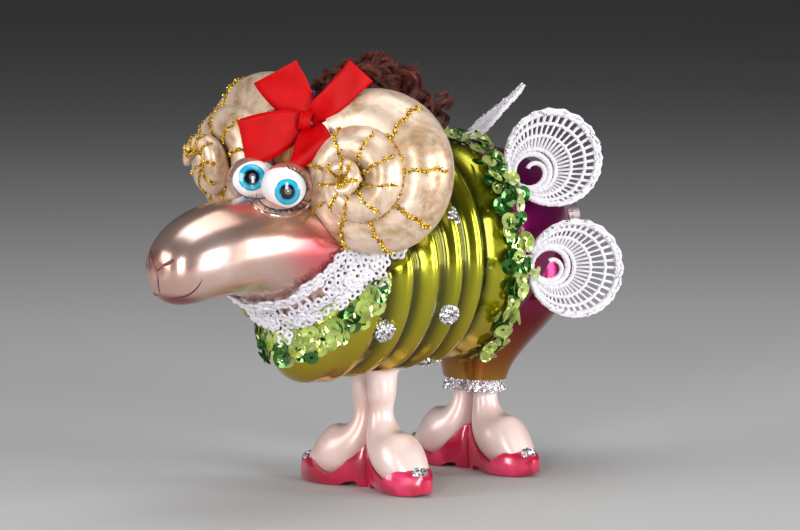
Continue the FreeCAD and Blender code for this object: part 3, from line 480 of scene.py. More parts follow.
class Strands(Gathered):
    """Thin tubes."""

    def add(self, path, radius, sides=6, closed=False, taper=None):
        count = len(path)
        start = len(self.points)
        side = None
        for i, point in enumerate(path):
            ahead = path[(i + 1) % count] if closed or i < count - 1 else point
            behind = path[i - 1] if closed or i > 0 else point
            travel = (ahead - behind).normalized()
            if side is None:
                side = travel.orthogonal().normalized()
            side = (side - travel * side.dot(travel)).normalized()
            other = travel.cross(side)
            r = radius * (taper(i / (count - 1)) if taper else 1.0)
            for j in range(sides):
                angle = 2 * pi * j / sides
                self.points.append(point + (side * cos(angle) + other * sin(angle)) * r)
        for i in range(count if closed else count - 1):
            a, b = start + i * sides, start + ((i + 1) % count) * sides
            for j in range(sides):
                k = (j + 1) % sides
                self.faces.append((a + j, a + k, b + k, b + j))
        if not closed:
            self.faces.append(tuple(start + j for j in reversed(range(sides))))
            self.faces.append(tuple(start + (count - 1) * sides + j for j in range(sides)))


class Grains(Gathered):
    """Grains of glitter, each an eight-sided crystal."""
    smooth = False
    CORNERS = ((1, 0, 0), (-1, 0, 0), (0, 1, 0), (0, -1, 0), (0, 0, 0.45), (0, 0, -0.45))
    SIDES = ((0, 2), (2, 1), (1, 3), (3, 0))
    TOP, BOTTOM = 4, 5

    def scatter(self, path, radius, size, per_step):
        for a, b in zip(path, path[1:]):
            for _ in range(per_step):
                spot = a.lerp(b, random()) + random_vector(radius * 0.5)
                turn = Matrix.Rotation(uniform(0, 3.1), 3, random_vector(1))
                r = size * uniform(0.7, 1.3)
                start = len(self.points)
                self.points += [spot + turn @ (Vector(c) * r) for c in self.CORNERS]
                self.faces += [(start + i, start + j, start + self.TOP) for i, j in self.SIDES]
                self.faces += [(start + self.BOTTOM, start + j, start + i) for i, j in self.SIDES]


class Sequins(Gathered):
    """Cupped sequins."""
    smooth = False
    PROFILE = ((0.24, 0.0), (0.5, 0.0), (0.62, 0.05), (1.0, 0.2))  # reach and height over the radius
    SIDES = 12
    THICKNESS = 0.12

    def add(self, at, normal, turn, radius, narrow=1.0):
        side = normal.orthogonal().normalized()
        side.rotate(Matrix.Rotation(turn, 3, normal))
        other = normal.cross(side)
        start = len(self.points)
        for r, z in self.PROFILE:
            for i in range(self.SIDES):
                a = 2 * pi * i / self.SIDES
                self.points.append(at + side * (cos(a) * r * radius * narrow)
                                   + other * (sin(a) * r * radius) + normal * (z * radius))
        for ring in range(len(self.PROFILE) - 1):
            a = start + ring * self.SIDES
            b = a + self.SIDES
            for i in range(self.SIDES):
                j = (i + 1) % self.SIDES
                self.faces.append((a + i, a + j, b + j, b + i))

    def finish(self, name, material, slot=None):
        thicken(super().finish(name, material, slot), self.THICKNESS, -1.0)


def to_row(points):
    return [Vector(p) + SHIFT for p in points]


def between(stations, steps):
    """More stations on a smooth curve through these."""
    out = []
    for i in range(len(stations) - 1):
        a, b, c, d = (stations[min(max(i + k, 0), len(stations) - 1)] for k in (-1, 0, 1, 2))
        for j in range(steps):
            t = j / steps
            out.append(tuple(0.5 * (2 * q + (r - p) * t + (2 * p - 5 * q + 4 * r - s) * t ** 2
                                    + (3 * q - p - 3 * r + s) * t ** 3) for p, q, r, s in zip(a, b, c, d)))
    return out + [tuple(stations[-1])]


def cord_swell(beats):
    """The uneven thickness of a crocheted cord."""
    return lambda t: 0.8 + 0.35 * abs(sin(t * beats))


# ------ the part's own shapes
X, Z = Vector((1, 0, 0)), Vector((0, 0, 1))
TORSO_FRONT, TORSO_HALF_WIDTH, TORSO_TOP, TORSO_BELLY = -33.5, 26.0, 96.0, 32.0
TORSO_MIDDLE, CHEST_TIP_Z = 63.5, 45.0
CHEST_DEPTH, CHEST_ROUNDING, BACK_CLIMB = 31.0, 11.0, 60.0
ROLL_DEPTH, WAIST_DRAW_IN = 2.4, 1.2


def torso_section(y):
    """The coat at one station: half width, reach above and below its middle, and the middle's height."""
    drawn = 0.0
    for start, stop in zip(ROLL_CREASES, ROLL_CREASES[1:]):
        if start <= y <= stop:
            drawn = ROLL_DEPTH * (0.5 + 0.5 * cos(2 * pi * (y - start) / (stop - start))) ** 0.85
    drawn += WAIST_DRAW_IN * max(0.0, y / WAIST_Y) ** 3
    depth, climb, nose = (min(1.0, (y - TORSO_FRONT) / reach)
                          for reach in (CHEST_DEPTH, BACK_CLIMB, CHEST_ROUNDING))
    half_width = TORSO_HALF_WIDTH * (1 - (1 - depth) ** 2) ** 0.75
    middle = CHEST_TIP_Z + (TORSO_MIDDLE - CHEST_TIP_Z) * sin(pi / 2 * depth)
    top = CHEST_TIP_Z + (TORSO_TOP - CHEST_TIP_Z) * sin(pi / 2 * climb) ** 0.95
    bottom = TORSO_BELLY + (CHEST_TIP_Z - TORSO_BELLY) * (1 - sqrt(1 - (1 - nose) ** 2))
    return half_width - drawn, top - middle - drawn, middle - bottom - drawn, middle


def coat_spot(y, angle, lift=0.0):
    """A point on the coat and its normal; angle runs from the top to the animal's left."""
    def at(station, turn):
        half_width, above, below, middle = torso_section(min(station, WAIST_Y))
        reach = above if cos(turn) > 0 else below
        return Vector((half_width * sin(turn), station, middle + reach * cos(turn)))

    turn = radians(angle)
    along = at(y + 0.5, turn) - at(y - 0.5, turn)
    around = at(y, turn + 0.03) - at(y, turn - 0.03)
    normal = around.cross(along).normalized()
    return at(y, turn) + normal * lift, normal


COLLAR_CENTRE, COLLAR_HALF_WIDTH, COLLAR_HALF_HEIGHT = Vector((0, -16.0, 66.5)), 20.3, 24.5
COLLAR_AHEAD = heading(0, 49.0)[0]
COLLAR_UP = COLLAR_AHEAD.cross(X)


def collar_point(angle, behind, out):
    """A point round the collar ring; angle runs from the throat to the animal's left."""
    turn = radians(angle)
    return (COLLAR_CENTRE - COLLAR_AHEAD * behind + X * ((COLLAR_HALF_WIDTH + out) * sin(turn))
            - COLLAR_UP * ((COLLAR_HALF_HEIGHT + out) * cos(turn)))


HORN_AHEAD, HORN_OUTWARD = heading(17.0, 0)
HORN_CENTRE, HORN_RADIUS, HORN_RISE = Vector((22.0, -16.5, 90.0)), 24.5, 27.0
HORN_FULL_TURNS, HORN_TAPER, HORN_TUBE_SHARE = 3.02, 1.25, 0.41
HORN_FREE_SIDE = radians(150)  # stands for the seam where no further turn touches


def horn_section(turn):
    """Distance from the horn's axis, rise along it and tube radius."""
    size = max(0.0, 1 - turn / HORN_FULL_TURNS) ** HORN_TAPER
    radius = HORN_RADIUS * size
    return radius * (1 - HORN_TUBE_SHARE), HORN_RISE * (1 - size), radius * HORN_TUBE_SHARE


def horn_point(side, turn, p, lift):
    """A point of the horn's skin; p is the angle round the tube from its outer side forwards."""
    out, rise, tube = horn_section(turn)
    radial = Z * cos(2 * pi * turn) + HORN_OUTWARD * sin(2 * pi * turn)
    normal = radial * cos(p) + HORN_AHEAD * sin(p)
    point = HORN_CENTRE + radial * out + HORN_AHEAD * rise + normal * (tube + lift)
    return TIP @ Vector((point.x * side, point.y, point.z))


def horn_seam(turn):
    """Angle round the tube at which the next turn begins."""
    r1, a1, t1 = horn_section(turn)
    r2, a2, t2 = horn_section(turn + 1)
    gap = hypot(r2 - r1, a2 - a1)
    if t2 < 0.2 or gap > t1 + t2:
        return HORN_FREE_SIDE
    towards = atan2(a2 - a1, r2 - r1)
    return towards - acos(max(-1, min(1, (gap * gap + t1 * t1 - t2 * t2) / (2 * gap * t1))))


BOW_KNOT = Vector((6.2, -27.5, 104.4))
BOW_OUT, BOW_RIGHT = heading(30.0, 0)


def bow_place(u, v, w):
    """A point so far right of the bow's knot, above it and before it."""
    return BOW_KNOT + BOW_RIGHT * u + Z * v + BOW_OUT * w


def mesh_surface(*names):
    """What lies under the trimmings, for laying pieces on."""
    points, faces = [], []
    for name in names:
        obj = NODES[name]
        start = len(points)
        points += [obj.matrix_world @ v.co * MM for v in obj.data.vertices]
        faces += [[start + i for i in p.vertices] for p in obj.data.polygons]
    return BVHTree.FromPolygons(points, faces)


BODY = mesh_surface("torso_shell", "head_shell")


def on_body(point, lift):
    """The nearest spot of coat or head in the row frame, lifted off it, and its normal."""
    spot, normal, _, _ = BODY.find_nearest(point + SHIFT)
    outward = point + SHIFT - spot
    if outward.length > 1e-6 and outward.dot(normal) < 0:
        normal = -normal
    return spot + normal * lift, normal


# ------ horns' glitter
HORN_STEP = 0.02  # turns between two points of a line
SEAM_TURNS = (0.06, 1.64)  # where the seam's line begins and ends
TIP_SEAM_START, TIP_SEAM_STEPS, TIP_SEAM_ANGLE = 1.62, 44, 140.0
RIBS, FIRST_RIB, RIB_APART = 19, 0.08, 0.117  # across the tube; the last two in turns
GRAIN, GRAINS_A_STEP = 0.34, 18


def horn_glitter(side, name, draw):
    """A line of glitter in the seam, and ribs from it across the tube."""
    seed(draw)
    grains = Grains()

    def line(path, radius):
        grains.scatter(to_row(path), radius, GRAIN, GRAINS_A_STEP)

    first, last = (round(turn / HORN_STEP) for turn in SEAM_TURNS)
    line([horn_point(side, turn, horn_seam(turn), 0.15)
          for turn in (HORN_STEP * i for i in range(first, last + 1))], 0.75)
    line([horn_point(side, TIP_SEAM_START + HORN_STEP * i, radians(TIP_SEAM_ANGLE), 0.1)
          for i in range(TIP_SEAM_STEPS)], 0.5)
    for k in range(RIBS):
        turn = FIRST_RIB + k * RIB_APART
        start = horn_seam(turn) if turn < 1.65 else radians(TIP_SEAM_ANGLE)
        stop = radians(12 if turn < 1 else 24)
        steps = 16 if turn < 1 else 9
        lean = uniform(-0.03, 0.03) / steps
        line([horn_point(side, turn + lean * i + 0.003 * sin(i * 0.9 + k),
                         start + (stop - start) * i / steps, 0.1)
              for i in range(steps + 1)], 0.6 if turn < 1.2 else 0.4)
    grains.finish(name, "gold_glitter", "horn_glass")


horn_glitter(1, "horn_glitter_left", 11)
horn_glitter(-1, "horn_glitter_right", 12)


# ------ hair
HAIR_CENTRE, HAIR_RADII = Vector((0, 3.5, 107.2)), Vector((12.5, 20.5, 11.6))
BOW_ROOM = 9  # no lock starts nearer to the bow than this
LOOSE_LOCKS, LOCK_STRANDS, STRAND_RADIUS, LOCK_STEPS_A_TURN = 105, 28, 0.09, 15
PLACED_LOCKS = (
    # where it starts and how wide its ring is
    (6.0, 23.0, 101.0, 4.2), (6.0, 25.5, 106.0, 3.4), (4.0, 25.0, 97.0, 3.2),
    (-7.0, -16.0, 111.0, 3.6), (-2.0, 6.0, 117.5, 3.8), (4.0, 14.0, 114.5, 3.8))


def lock_places():
    """For each lock its start, the way out of the head, its ring's radius and its turns."""
    locks = []
    while len(locks) < LOOSE_LOCKS:
        d = Vector((gauss(0, 1), gauss(0, 1), gauss(0.4, 0.8))).normalized()
        base = HAIR_CENTRE + stretched(d, HAIR_RADII) * uniform(0.66, 0.9)
        if d.z > -0.3 and (base - bow_place(0, 3, 0)).length > BOW_ROOM:
            locks.append((base, d, uniform(2.4, 4.2), uniform(1.0, 1.7)))
    for x, y, z, big in PLACED_LOCKS:
        locks.append((Vector((x, y, z)), Vector((0.3, 0.6 if y > 0 else -0.6, 0.5)).normalized(), big, 1.4))
    return locks


def hair():
    """Locks of fine hair, each a loose ring, over a core."""
    seed(5)
    strands = Strands()
    for base, d, big, turns in lock_places():
        around = d.orthogonal().normalized()
        around.rotate(Matrix.Rotation(uniform(0, 2 * pi), 3, d))
        across = d.cross(around)
        pitch, wide = uniform(0.4, 1.2), uniform(0.5, 0.85)
        count = int(LOCK_STEPS_A_TURN * turns)
        for _ in range(LOCK_STRANDS):
            off = random_vector(wide * 0.55)
            phase, r = gauss(0, 0.16), big * gauss(1.0, 0.07)
            path = []
            for i in range(count + 1):
                t = i / count
                a = phase + 2 * pi * turns * t
                ring = (around * cos(a) + d * sin(a)) * r * (1 - 0.3 * t)
                path.append(base + off * (0.7 + 0.6 * t) + ring + across * (pitch * turns * (t - 0.5) * 2))
            strands.add(to_row(path), STRAND_RADIUS, 3)
    curls = strands.finish("hair_curls", "hair")
    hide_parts("hair_tuft")

    def swell(p):
        wave = 1 + 0.05 * sin(9 * p.x + 3) * sin(8 * p.y) + 0.04 * sin(11 * p.z)
        return stretched(p, HAIR_RADII) * (0.82 * wave)

    core = bmesh.new()
    bmesh.ops.create_icosphere(core, subdivisions=4, radius=1.0)
    from_ball("hair_core", core, HAIR_CENTRE, swell, MATERIALS["hair"])


hair()


# ------ lace fans
FANS = {
    # angle round the waist, direction it opens in, way it faces
    "top": (4.0, (-0.2, 0.87, 0.44), (-0.46, -0.61, 0.65)),
    "upper_left": (50.0, (0.45, 0.72, 0.53), (0.68, -0.73, 0.11)),
    "lower_left": (95.0, (0.57, 0.8, -0.1), (0.68, -0.73, 0.11)),
    "upper_right": (-58.0, (-0.4, 0.91, 0.0), (-0.8, -0.6, 0.0)),
    "lower_right": (-98.0, (-0.55, 0.83, -0.1), (-0.68, -0.73, 0.11)),
}
FAN_Y, FAN_SINK = 42.0, 0.8  # where the fans leave the waist, and how deep
FAN_RADIUS, FAN_EYE = 14.5, 5.0
FAN_HUB, FAN_CENTRE = FAN_EYE + 2.2, FAN_RADIUS + 0.4  # middles of the eye and of the fan's edge
FAN_SPAN = radians(150)  # the fan's cords reach this far to either side
FAN_CORDS = ((0.02, 0.75), (0.13, 0.6), (0.42, 0.5), (0.68, 0.5), (0.9, 0.75), (0.97, 0.45))  # share, radius
FAN_CORD_STEPS, FAN_RAYS, FAN_PICOTS, FAN_GRAINS = 96, 46, 23, 46


def lace_fan(name, angle, direction, facing):
    """Crochet: cords round an open eye, twin rays across them and loops along the edge."""
    root = coat_spot(FAN_Y, angle, -FAN_SINK)[0] + SHIFT
    u = Vector(direction).normalized()
    n = Vector(facing)
    n = (n - u * n.dot(u)).normalized()
    v = n.cross(u)
    seed(len(name))
    cords = Strands()

    def place(x, y, lift=0.0):
        """A spot of the fan, which is cupped a little."""
        cup = 0.018 * y * y - 0.35 * sin(x * 0.5)
        return root + u * x + v * y + n * (lift + 0.1 + cup * 0.25)

    def ray(theta, share, lift=0.0):
        """A spot between the fan's eye (share 0) and its outer edge (share 1)."""
        c, s = cos(theta), sin(theta)
        back = FAN_HUB - FAN_CENTRE
        edge = -back * c + sqrt(max(0.0, (back * c) ** 2 - back * back + (FAN_RADIUS - 0.7) ** 2))
        reach = FAN_EYE + (edge - FAN_EYE) * share
        return place(FAN_HUB + c * reach, s * reach, lift)

    def round_eye(a, reach, flat=1.0):
        return place(FAN_HUB + reach * cos(a), reach * sin(a) * flat)

    for share, radius in FAN_CORDS:
        path = []
        for i in range(FAN_CORD_STEPS + 1):
            theta = -FAN_SPAN + 2 * FAN_SPAN * i / FAN_CORD_STEPS
            ripple = 0.018 * sin(i * 1.57) if share > 0.9 else 0.006 * sin(i * 2.2)
            path.append(ray(theta, share + ripple, 0.12 * sin(i * 1.3)))
        cords.add(path, radius, 6, taper=lambda t: 0.85 + 0.3 * abs(sin(t * 150)))
    for i in range(FAN_RAYS):
        theta = -FAN_SPAN + 2 * FAN_SPAN * (i + 0.5) / FAN_RAYS
        for twin in (-0.016, 0.016):
            cords.add([ray(theta + twin * (1 - 0.6 * k), 0.12 + 0.8 * k / 3, 0.1 * sin(k * 3 + i))
                       for k in range(4)], 0.33, 4)
    for i in range(FAN_PICOTS):
        theta = 0.98 * FAN_SPAN * (2 * i / (FAN_PICOTS - 1) - 1)
        arc = [pi * k / 8 for k in range(9)]
        cords.add([ray(theta + 0.06 * cos(a), 0.93 + 0.055 * sin(a)) for a in arc], 0.42, 5)
    cords.add([round_eye(2 * pi * i / 60, FAN_EYE * 1.02) for i in range(60)], 0.75, 6, True, cord_swell(70))
    cords.add([round_eye(2 * pi * (0.55 + 0.75 * t), FAN_EYE * (0.98 - 0.68 * t ** 1.6), 0.9)
               for t in (i / 40 for i in range(40))], 0.62, 6,
              taper=lambda t: 1.1 - 0.2 * t + 0.25 * abs(sin(t * 40)))
    for y in (-1.6, -0.5, 0.6, 1.7):
        cords.add([place(-1.2 + 0.9 * k, y * (1 + 0.12 * k), 0.2 * sin(k + y)) for k in range(5)], 0.6, 5)
    piece = cords.finish("lace_" + name, "white_lace")
    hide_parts("lace_fan_" + name)

    grains = Strands()
    for _ in range(FAN_GRAINS):
        theta = uniform(-1.5, 1.9)
        at = ray(theta, uniform(0.84, 1.0), 0.5)
        grains.add([at, at + n * 0.5], uniform(0.25, 0.5), 5)
    grains.finish("fan_glitter_" + name, "fan_glitter", "silver_glitter")


for fan_name, fan in FANS.items():
    lace_fan(fan_name, *fan)


# ------ collar
GUIPURE_END = 152  # degrees from the throat to either end of the collar
FLOWERS, PETALS, PETAL_STEPS, FLOWER_RADIUS = 33, 5, 9, 2.25
FLOWER_ROWS = ((-8.6, 2.6), (-5.4, 3.6), (-2.2, 4.4), (0.8, 4.2))  # behind the ring and out of it
CORD_ROWS = ((-7.0, 3.2), (-3.8, 4.0), (-0.7, 4.4))
CORD_STEPS = 160


def flower(cords, at, normal):
    """Five looped petals round a raised button."""
    side = normal.orthogonal().normalized()
    side.rotate(Matrix.Rotation(uniform(0, 6.28), 3, normal))
    other = normal.cross(side)
    r = FLOWER_RADIUS * uniform(0.9, 1.1)
    for petal in range(PETALS):
        a = 2 * pi * petal / PETALS
        ahead, aside = side * cos(a) + other * sin(a), other * cos(a) - side * sin(a)
        loop = []
        for k in range(PETAL_STEPS):
            turn = 2 * pi * k / PETAL_STEPS
            loop.append(at + ahead * (r * 0.55 * (1 - cos(turn))) + aside * (r * 0.42 * sin(turn))
                        + normal * (0.5 * sin(turn / 2)))
        cords.add(loop, 0.46, 5, True)
    cords.add([at - normal * 0.3, at + normal * 0.75], 0.7, 7)


def collar_guipure():
    seed(21)
    cords = Strands()
    for number, (behind, out) in enumerate(FLOWER_ROWS):
        for i in range(FLOWERS):
            share = (i + 0.5 * (number % 2)) / FLOWERS
            angle = GUIPURE_END * (2 * share - 1) + uniform(-0.8, 0.8)
            wavy = behind + 0.7 * sin(i * 1.7 + number)
            flower(cords, *on_body(collar_point(angle, wavy, out), 0.7 + 0.7 * random()))
    for behind, out in CORD_ROWS:
        path = []
        for i in range(CORD_STEPS + 1):
            angle = GUIPURE_END * (2 * i / CORD_STEPS - 1)
            path.append(on_body(collar_point(angle, behind + 1.1 * sin(i * 0.75), out), 0.5)[0])
        cords.add(path, 0.5, 5, taper=cord_swell(200))
    piece = cords.finish("collar_guipure", "white_lace")
    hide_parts("collar_lace")


collar_guipure()


# ------ sequins
CHEST_SEQUINS, CHEST_END = 84, 84  # how many, and degrees from the throat to either end
WAIST_SEQUINS, WAIST_END = 225, 158  # how many, and degrees from the top to either end
GARLAND_Y, GARLAND_SPREAD, GARLAND_REACH = 36.2, 2.6, (30.4, 41.6)
ON_TOP, IN_VIEW = 48, 95  # degrees from the top: where many stand on edge, where most are dark


def tilted(normal, amount):
    return (normal + random_vector(amount)).normalized()


def finish_sequins(place, pale, dark):
    pale.finish(place + "_sequins_pale", "green_sequin")
    dark.finish(place + "_sequins_dark", "dark_sequin", "green_sequin")


def chest_sequins():
    seed(3)
    pale, dark = Sequins(), Sequins()
    for _ in range(CHEST_SEQUINS):
        angle = uniform(-CHEST_END, CHEST_END)
        behind = uniform(1.0, 11.5 - 3.5 * abs(angle) / CHEST_END)
        at, normal = on_body(collar_point(angle, behind, 6.0), uniform(0.5, 1.9))
        pick = dark if random() < 0.35 else pale
        pick.add(at, tilted(normal, 0.2), uniform(0, 1), 2.45 if random() < 0.6 else 1.95)
    finish_sequins("chest", pale, dark)


def waist_garland():
    seed(8)
    pale, dark = Sequins(), Sequins()
    for _ in range(WAIST_SEQUINS):
        angle = uniform(-WAIST_END, WAIST_END)
        y = gauss(GARLAND_Y, GARLAND_SPREAD)
        y = min(GARLAND_REACH[1], max(GARLAND_REACH[0], y))
        at, normal = coat_spot(y, angle, uniform(0.7, 3.6))
        at = at + SHIFT
        pick = dark if random() < (0.62 if abs(angle) < IN_VIEW else 0.2) else pale
        if abs(angle) < ON_TOP and random() < 0.6:
            pick.add(at, tilted(normal, 1.0), uniform(0, 6.28), 2.6, 0.3)
        else:
            pick.add(at, tilted(normal, 0.34), uniform(0, 1), 2.4 if random() < 0.6 else 1.9)
    finish_sequins("waist", pale, dark)


chest_sequins()
waist_garland()


# ------ bow
RIBBON_THICKNESS = 0.3
RIBBON_COLUMNS, RIBBON_STEPS = 8, 8
UV_LENGTH = 12.0  # ribbon that the weave's pattern spans
RIBBONS = {
    # middle of the ribbon from the knot, turn of its width in degrees, half width
    "loop_right": (
        (-1.0, -0.1, 0.9, 95, 2.6), (-4.0, -1.4, 3.0, 97, 4.6), (-9.0, -3.4, 4.6, 100, 6.0),
        (-13.5, -5.2, 4.8, 102, 6.6), (-16.6, -6.4, 3.8, 103, 6.7), (-17.4, -6.7, 2.4, 103, 6.7),
        (-15.8, -6.1, 1.2, 103, 6.5), (-10.0, -3.9, 0.6, 100, 5.4), (-2.2, -0.6, 0.2, 95, 2.6)),
    "loop_left": (
        (0.8, -1.2, 1.2, 24, 2.6), (2.0, -3.8, 5.0, 32, 5.0), (3.0, -6.6, 8.4, 38, 6.6),
        (4.0, -8.8, 8.8, 39, 6.9), (4.4, -9.4, 7.4, 39, 6.9), (3.8, -7.8, 5.2, 38, 6.2),
        (1.4, -2.4, 0.8, 24, 2.6)),
    "tail_right": (
        (-0.6, 0.8, 0.4, 14, 2.4), (-2.6, 3.6, 0.6, 14, 4.8), (-5.2, 7.6, 1.0, 22, 6.2),
        (-7.6, 11.2, 1.8, 34, 6.6), (-8.6, 13.0, 2.2, 40, 6.7)),
    "tail_left": (
        (0.8, 0.4, 0.6, -50, 2.2), (3.6, 2.6, 2.4, -50, 3.2), (8.0, 6.0, 3.4, -50, 3.7),
        (12.2, 10.4, 2.4, -56, 3.9), (15.0, 13.6, 1.2, -63, 4.2)),
}


def satin(name, points, uvs, columns, offset, node):
    faces = sheet_faces(len(points) // (columns + 1) - 1, columns)
    piece = from_points(name, points, faces, "red_ribbon", uvs=uvs)
    thicken(piece, RIBBON_THICKNESS, offset)
    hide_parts(node)


def ribbon(name, stations):
    stations = between(stations, RIBBON_STEPS)
    path = [bow_place(*s[:3]) for s in stations]
    points, uvs, length = [], [], 0.0
    for i, (u, v, w, angle, half) in enumerate(stations):
        if i:
            length += (path[i] - path[i - 1]).length
        turn = radians(angle)
        across = BOW_RIGHT * cos(turn) + Z * sin(turn)
        travel = path[min(i + 1, len(path) - 1)] - path[max(i - 1, 0)]
        across = (across - travel * (across.dot(travel) / travel.dot(travel))).normalized()
        face = across.cross(travel).normalized()
        for j in range(RIBBON_COLUMNS + 1):
            s = 2 * j / RIBBON_COLUMNS - 1
            pleat = 0.35 * sin(3.0 * s + 0.25 * i) * min(1.0, 3.0 / half)
            points.append(path[i] + SHIFT + across * (half * s) + face * pleat)
            uvs.append((length / UV_LENGTH, s * half / UV_LENGTH))
    satin("ribbon_" + name, points, uvs, RIBBON_COLUMNS, 0.0, "bow_" + name)


BAND_REACH, BAND_ROWS, BAND_COLUMNS = 118, 26, 10  # degrees to either side of the front, faces each way
BAND_HALF_WIDTH, BAND_RISE, BAND_DEPTH = 1.75, 2.7, 2.3


def bow_band():
    """The pleated turn of ribbon that pinches the bow."""
    points, uvs = [], []
    for i in range(BAND_ROWS + 1):
        turn = radians(BAND_REACH * (2 * i / BAND_ROWS - 1))
        for j in range(BAND_COLUMNS + 1):
            s = 2 * j / BAND_COLUMNS - 1
            pleat = 0.22 * cos(5 * s + 0.4 * sin(3 * turn))
            u = BAND_HALF_WIDTH * s * (0.75 + 0.25 * abs(sin(turn))) + 0.4 * sin(turn)
            points.append(SHIFT + bow_place(u, (BAND_RISE + pleat) * sin(turn) - 0.2,
                                            1.6 + (BAND_DEPTH + pleat) * cos(turn)))
            uvs.append((i / 18.0, s * 0.2))
    satin("ribbon_band", points, uvs, BAND_COLUMNS, -1.0, "bow_knot")


def wire_bead():
    """The twisted end of the wire under the knot."""
    bead = Strands()
    low = bow_place(-1.6, -3.6, 3.0) + SHIFT
    bead.add([low, low - Z * 1.4], 0.6, 10, taper=lambda t: 0.7 + 0.6 * sin(pi * t))
    bead.finish("wire_bead", "purple_wire")


for ribbon_name, ribbon_stations in RIBBONS.items():
    ribbon(ribbon_name, ribbon_stations)
bow_band()
wire_bead()


# ------ face
def eye_ball(side, name):
    """The moulded ball that carries the painted eye."""
    ball = bmesh.new()
    bmesh.ops.create_uvsphere(ball, u_segments=64, v_segments=40, radius=1.0)
    piece = from_ball("eye_ball_" + name, ball, eye_centre(side), lambda p: stretched(p, EYE_RADII),
                      eye_material(side, name))
    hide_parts("eye_" + name)


def on_eye(side, a, b):
    """The spot of the eye ball that lies at a, b across the gaze."""
    origin = GAZE_RIGHT * a + GAZE_UP * b
    o = Vector([origin[i] / EYE_RADII[i] for i in range(3)])
    d = Vector([GAZE[i] / EYE_RADII[i] for i in range(3)])
    half, square = o.dot(d), d.dot(d)
    inside = half * half - square * (o.dot(o) - 1)
    reach = (-half + sqrt(max(0.0, inside))) / square
    return eye_centre(side) + origin + GAZE * reach


def draped(side, degrees, swell, lift):
    """A spot on an oval round the painted white, laid on the eye or the head."""
    (x, y), (w, h) = EYES[side][:2]
    turn = radians(degrees)
    a, b = x + w * swell * cos(turn), y + h * swell * sin(turn)
    spot = on_eye(side, a, b) + SHIFT
    hit = BODY.ray_cast(spot + GAZE * CLEAR_OF_HEAD, -GAZE)[0]
    if hit is not None and (hit - spot).dot(GAZE) > 0:
        spot = hit
    return spot + GAZE * lift


def swelling(t):
    return 0.35 + 0.75 * sin(pi * t)


def thinning(t):
    return 1.15 - 0.8 * t


CLEAR_OF_HEAD = 40.0  # a ray back along the gaze starts here
LID_ARCS = ((1, 192, 400), (1, 20, 72), (-1, 200, 322), (-1, 14, 62))  # side, first and last degree
LASHES = 9
LASH_ROWS = (
    # first degree, span, lean a step; the oval's size and growth a step; lift and rise a step; radius
    (236, 92, 1.5, 1.02, 0.1, 0.25, 0.25, 0.19),
    (-8, 78, 3.0, 0.99, 0.05, 0.3, 0.0, 0.17),
)
MOUTH_X, MOUTH_TOP = -0.65, (-0.7, -75.9, 60.9)
SMILE = ((1.7, -75.4, 60.2), (4.1, -74.4, 60.2), (6.1, -73.0, 60.9), (7.9, -71.9, 62.2), (9.1, -71.2, 63.8),
         (9.8, -70.8, 65.4))
NOSE_TIP, NOSE_END = (-1.6, -77.2, 68.9), (1.8, -77.2, 68.8)
FACE_LINES = (
    (0.42, ((-4.7, -75.6, 71.8), (-3.4, -76.6, 71.2), (-2.7, -76.9, 70.0), NOSE_TIP)),  # nostrils
    (0.5, ((4.9, -76.2, 70.6), (3.6, -76.9, 69.6), NOSE_END)),
    (0.2, (NOSE_TIP, (-0.4, -77.2, 67.4), NOSE_END)),
    (0.22, ((-0.5, -77.2, 67.4), (-0.1, -77.2, 64.9), (-0.5, -76.1, 61.2))),  # cleft of the lip
    (0.26, (MOUTH_TOP, *SMILE)),
    (0.26, (MOUTH_TOP, *((2 * MOUTH_X - x, y, z) for x, y, z in SMILE))),
)


def eye_lines():
    """Painted lid lines on both eyes and lashes on the left one."""
    black = Strands()
    for side, start, stop in LID_ARCS:
        black.add([draped(side, start + (stop - start) * i / 40, 1.0, 0.2) for i in range(41)], 0.2, 5,
                  taper=swelling)
    for first, span, lean, size, grow, lift, rise, radius in LASH_ROWS:
        for i in range(LASHES):
            turn = first + span * i / (LASHES - 1)
            path = [draped(1, turn + lean * k, size + grow * k, lift + rise * k) for k in range(4)]
            black.add(path, radius, 4, taper=thinning)
    black.finish("eye_lines", "black_line", "eye_paint")


def eye_bag():
    """The moulded fold under the left eye."""
    skin = Strands()
    skin.add([draped(1, 200 + 136 * i / 32, 1.3, -0.35) for i in range(33)], 0.95, 12, taper=swelling)
    skin.finish("eye_bag", "face_glass")


def mouth_lines():
    dark = Strands()
    for radius, points in FACE_LINES:
        dark.add([on_body(Vector(p), 0.0)[0] for p in between(points, 8)], radius, 6, taper=swelling)
    dark.finish("mouth_lines", "mouth_line", "face_glass")


eye_ball(1, "left")
eye_ball(-1, "right")
eye_lines()
eye_bag()
mouth_lines()


# ------ loose glitter
def glitter_on(node_name, name, per_square):
    """Grains of glitter all over a node, so many to a square millimetre."""
    seed(len(name))
    mesh, to_world = NODES[node_name].data, NODES[node_name].matrix_world
    mesh.calc_loop_triangles()
    corners = [[to_world @ mesh.vertices[v].co * MM for v in triangle.vertices]
               for triangle in mesh.loop_triangles]
    areas = [(b - a).cross(c - a).length / 2 for a, b, c in corners]
    grains = Grains()
    for a, b, c in choices(corners, areas, k=int(sum(areas) * per_square)):
        s, t = sorted((random(), random()))
        spot = a * s + b * (t - s) + c * (1 - t)
        grains.scatter([spot, spot], 0.1, 0.3, 1)
    grains.finish(name, "silver_glitter")


glitter_on("coat_glitter", "coat_glitter_grains", 2.6)
glitter_on("shoe_glitter", "shoe_glitter_grains", 4.0)
glitter_on("frill_left", "frill_grains_left", 1.0)
glitter_on("frill_right", "frill_grains_right", 1.0)


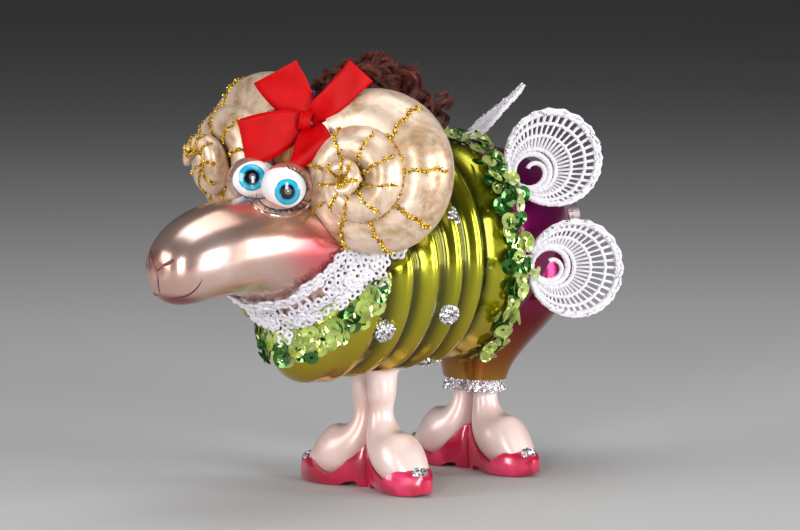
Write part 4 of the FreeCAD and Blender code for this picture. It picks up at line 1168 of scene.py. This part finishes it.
# ------ stage, from here on in metres
SCENE = bpy.context.scene
SCENE.view_settings.view_transform = "Standard"
FLOOR_SIZE, FLOOR_DROP = 6, 0.0002  # the floor lies a hair under the soles
WORLD_STOPS = ((0.0, 0.42), (0.06, 0.045))  # height of the way looked in, grey


def lay_floor():
    bpy.ops.mesh.primitive_plane_add(size=FLOOR_SIZE, location=(0, 0, -FLOOR_DROP))
    floor = bpy.context.object
    floor.name = "floor"
    f = Finish("pale_floor", roughness=0.7)
    tone = f.ramp(f.noise(3, 2), (0.3, (0.51, 0.51, 0.515)), (0.7, (0.54, 0.54, 0.545)))
    floor.data.materials.append(f.done(base_color=tone))


def light_world():
    """A pale horizon under a dark sky."""
    world = bpy.data.worlds.new("studio")
    SCENE.world = world
    world.use_nodes = True
    tree = world.node_tree
    coords = tree.nodes.new("ShaderNodeTexCoord")
    split = tree.nodes.new("ShaderNodeSeparateXYZ")
    shades = tree.nodes.new("ShaderNodeValToRGB")
    for element, (at, tone) in zip(shades.color_ramp.elements, WORLD_STOPS):
        element.position = at
        element.color = (tone, tone, tone * 1.01, 1)
    tree.links.new(coords.outputs["Generated"], split.inputs[0])
    tree.links.new(split.outputs["Z"], shades.inputs[0])
    tree.links.new(shades.outputs[0], tree.nodes["Background"].inputs[0])


VIEW, VIEW_RIGHT = heading(43.0, 6.5)
VIEW_DISTANCE, LENS, SENSOR_WIDTH, NEAR = 1.0, 160.7, 36.0, 0.05
TARGET = mm((0, 15.33, 61.16))
SOFTBOXES = {
    # from the target towards the viewer, to their right and up; width, height, power
    "key": (0.85, -0.24, 0.06, 0.16, 0.5, 3.6),
    "fill": (0.66, 0.56, 0.05, 0.28, 0.56, 5.4),
    "side": (0.12, 0.85, 0.12, 0.36, 0.56, 5.0),
    "left": (0.35, -0.8, 0.2, 0.4, 0.5, 4.0),
    "top": (0.0, 0.0, 0.85, 0.7, 0.7, 3.6),
}


def softbox(name, towards, right, up, width, height, power):
    light = bpy.data.lights.new(name, "AREA")
    light.shape = "RECTANGLE"
    light.size, light.size_y, light.energy = width, height, power
    obj = linked(name, light)
    obj.location = TARGET + VIEW * towards + VIEW_RIGHT * right + Z * up
    obj.rotation_euler = (TARGET - obj.location).to_track_quat("-Z", "Y").to_euler()


def set_camera():
    camera = linked("camera", bpy.data.cameras.new("camera"))
    camera.data.lens = LENS
    camera.data.sensor_width = SENSOR_WIDTH
    camera.data.clip_start = NEAR
    camera.location = TARGET + VIEW * VIEW_DISTANCE
    camera.rotation_euler = VIEW.to_track_quat("Z", "Y").to_euler()
    SCENE.camera = camera


lay_floor()
light_world()
set_camera()
for light_name, settings in SOFTBOXES.items():
    softbox(light_name, *settings)
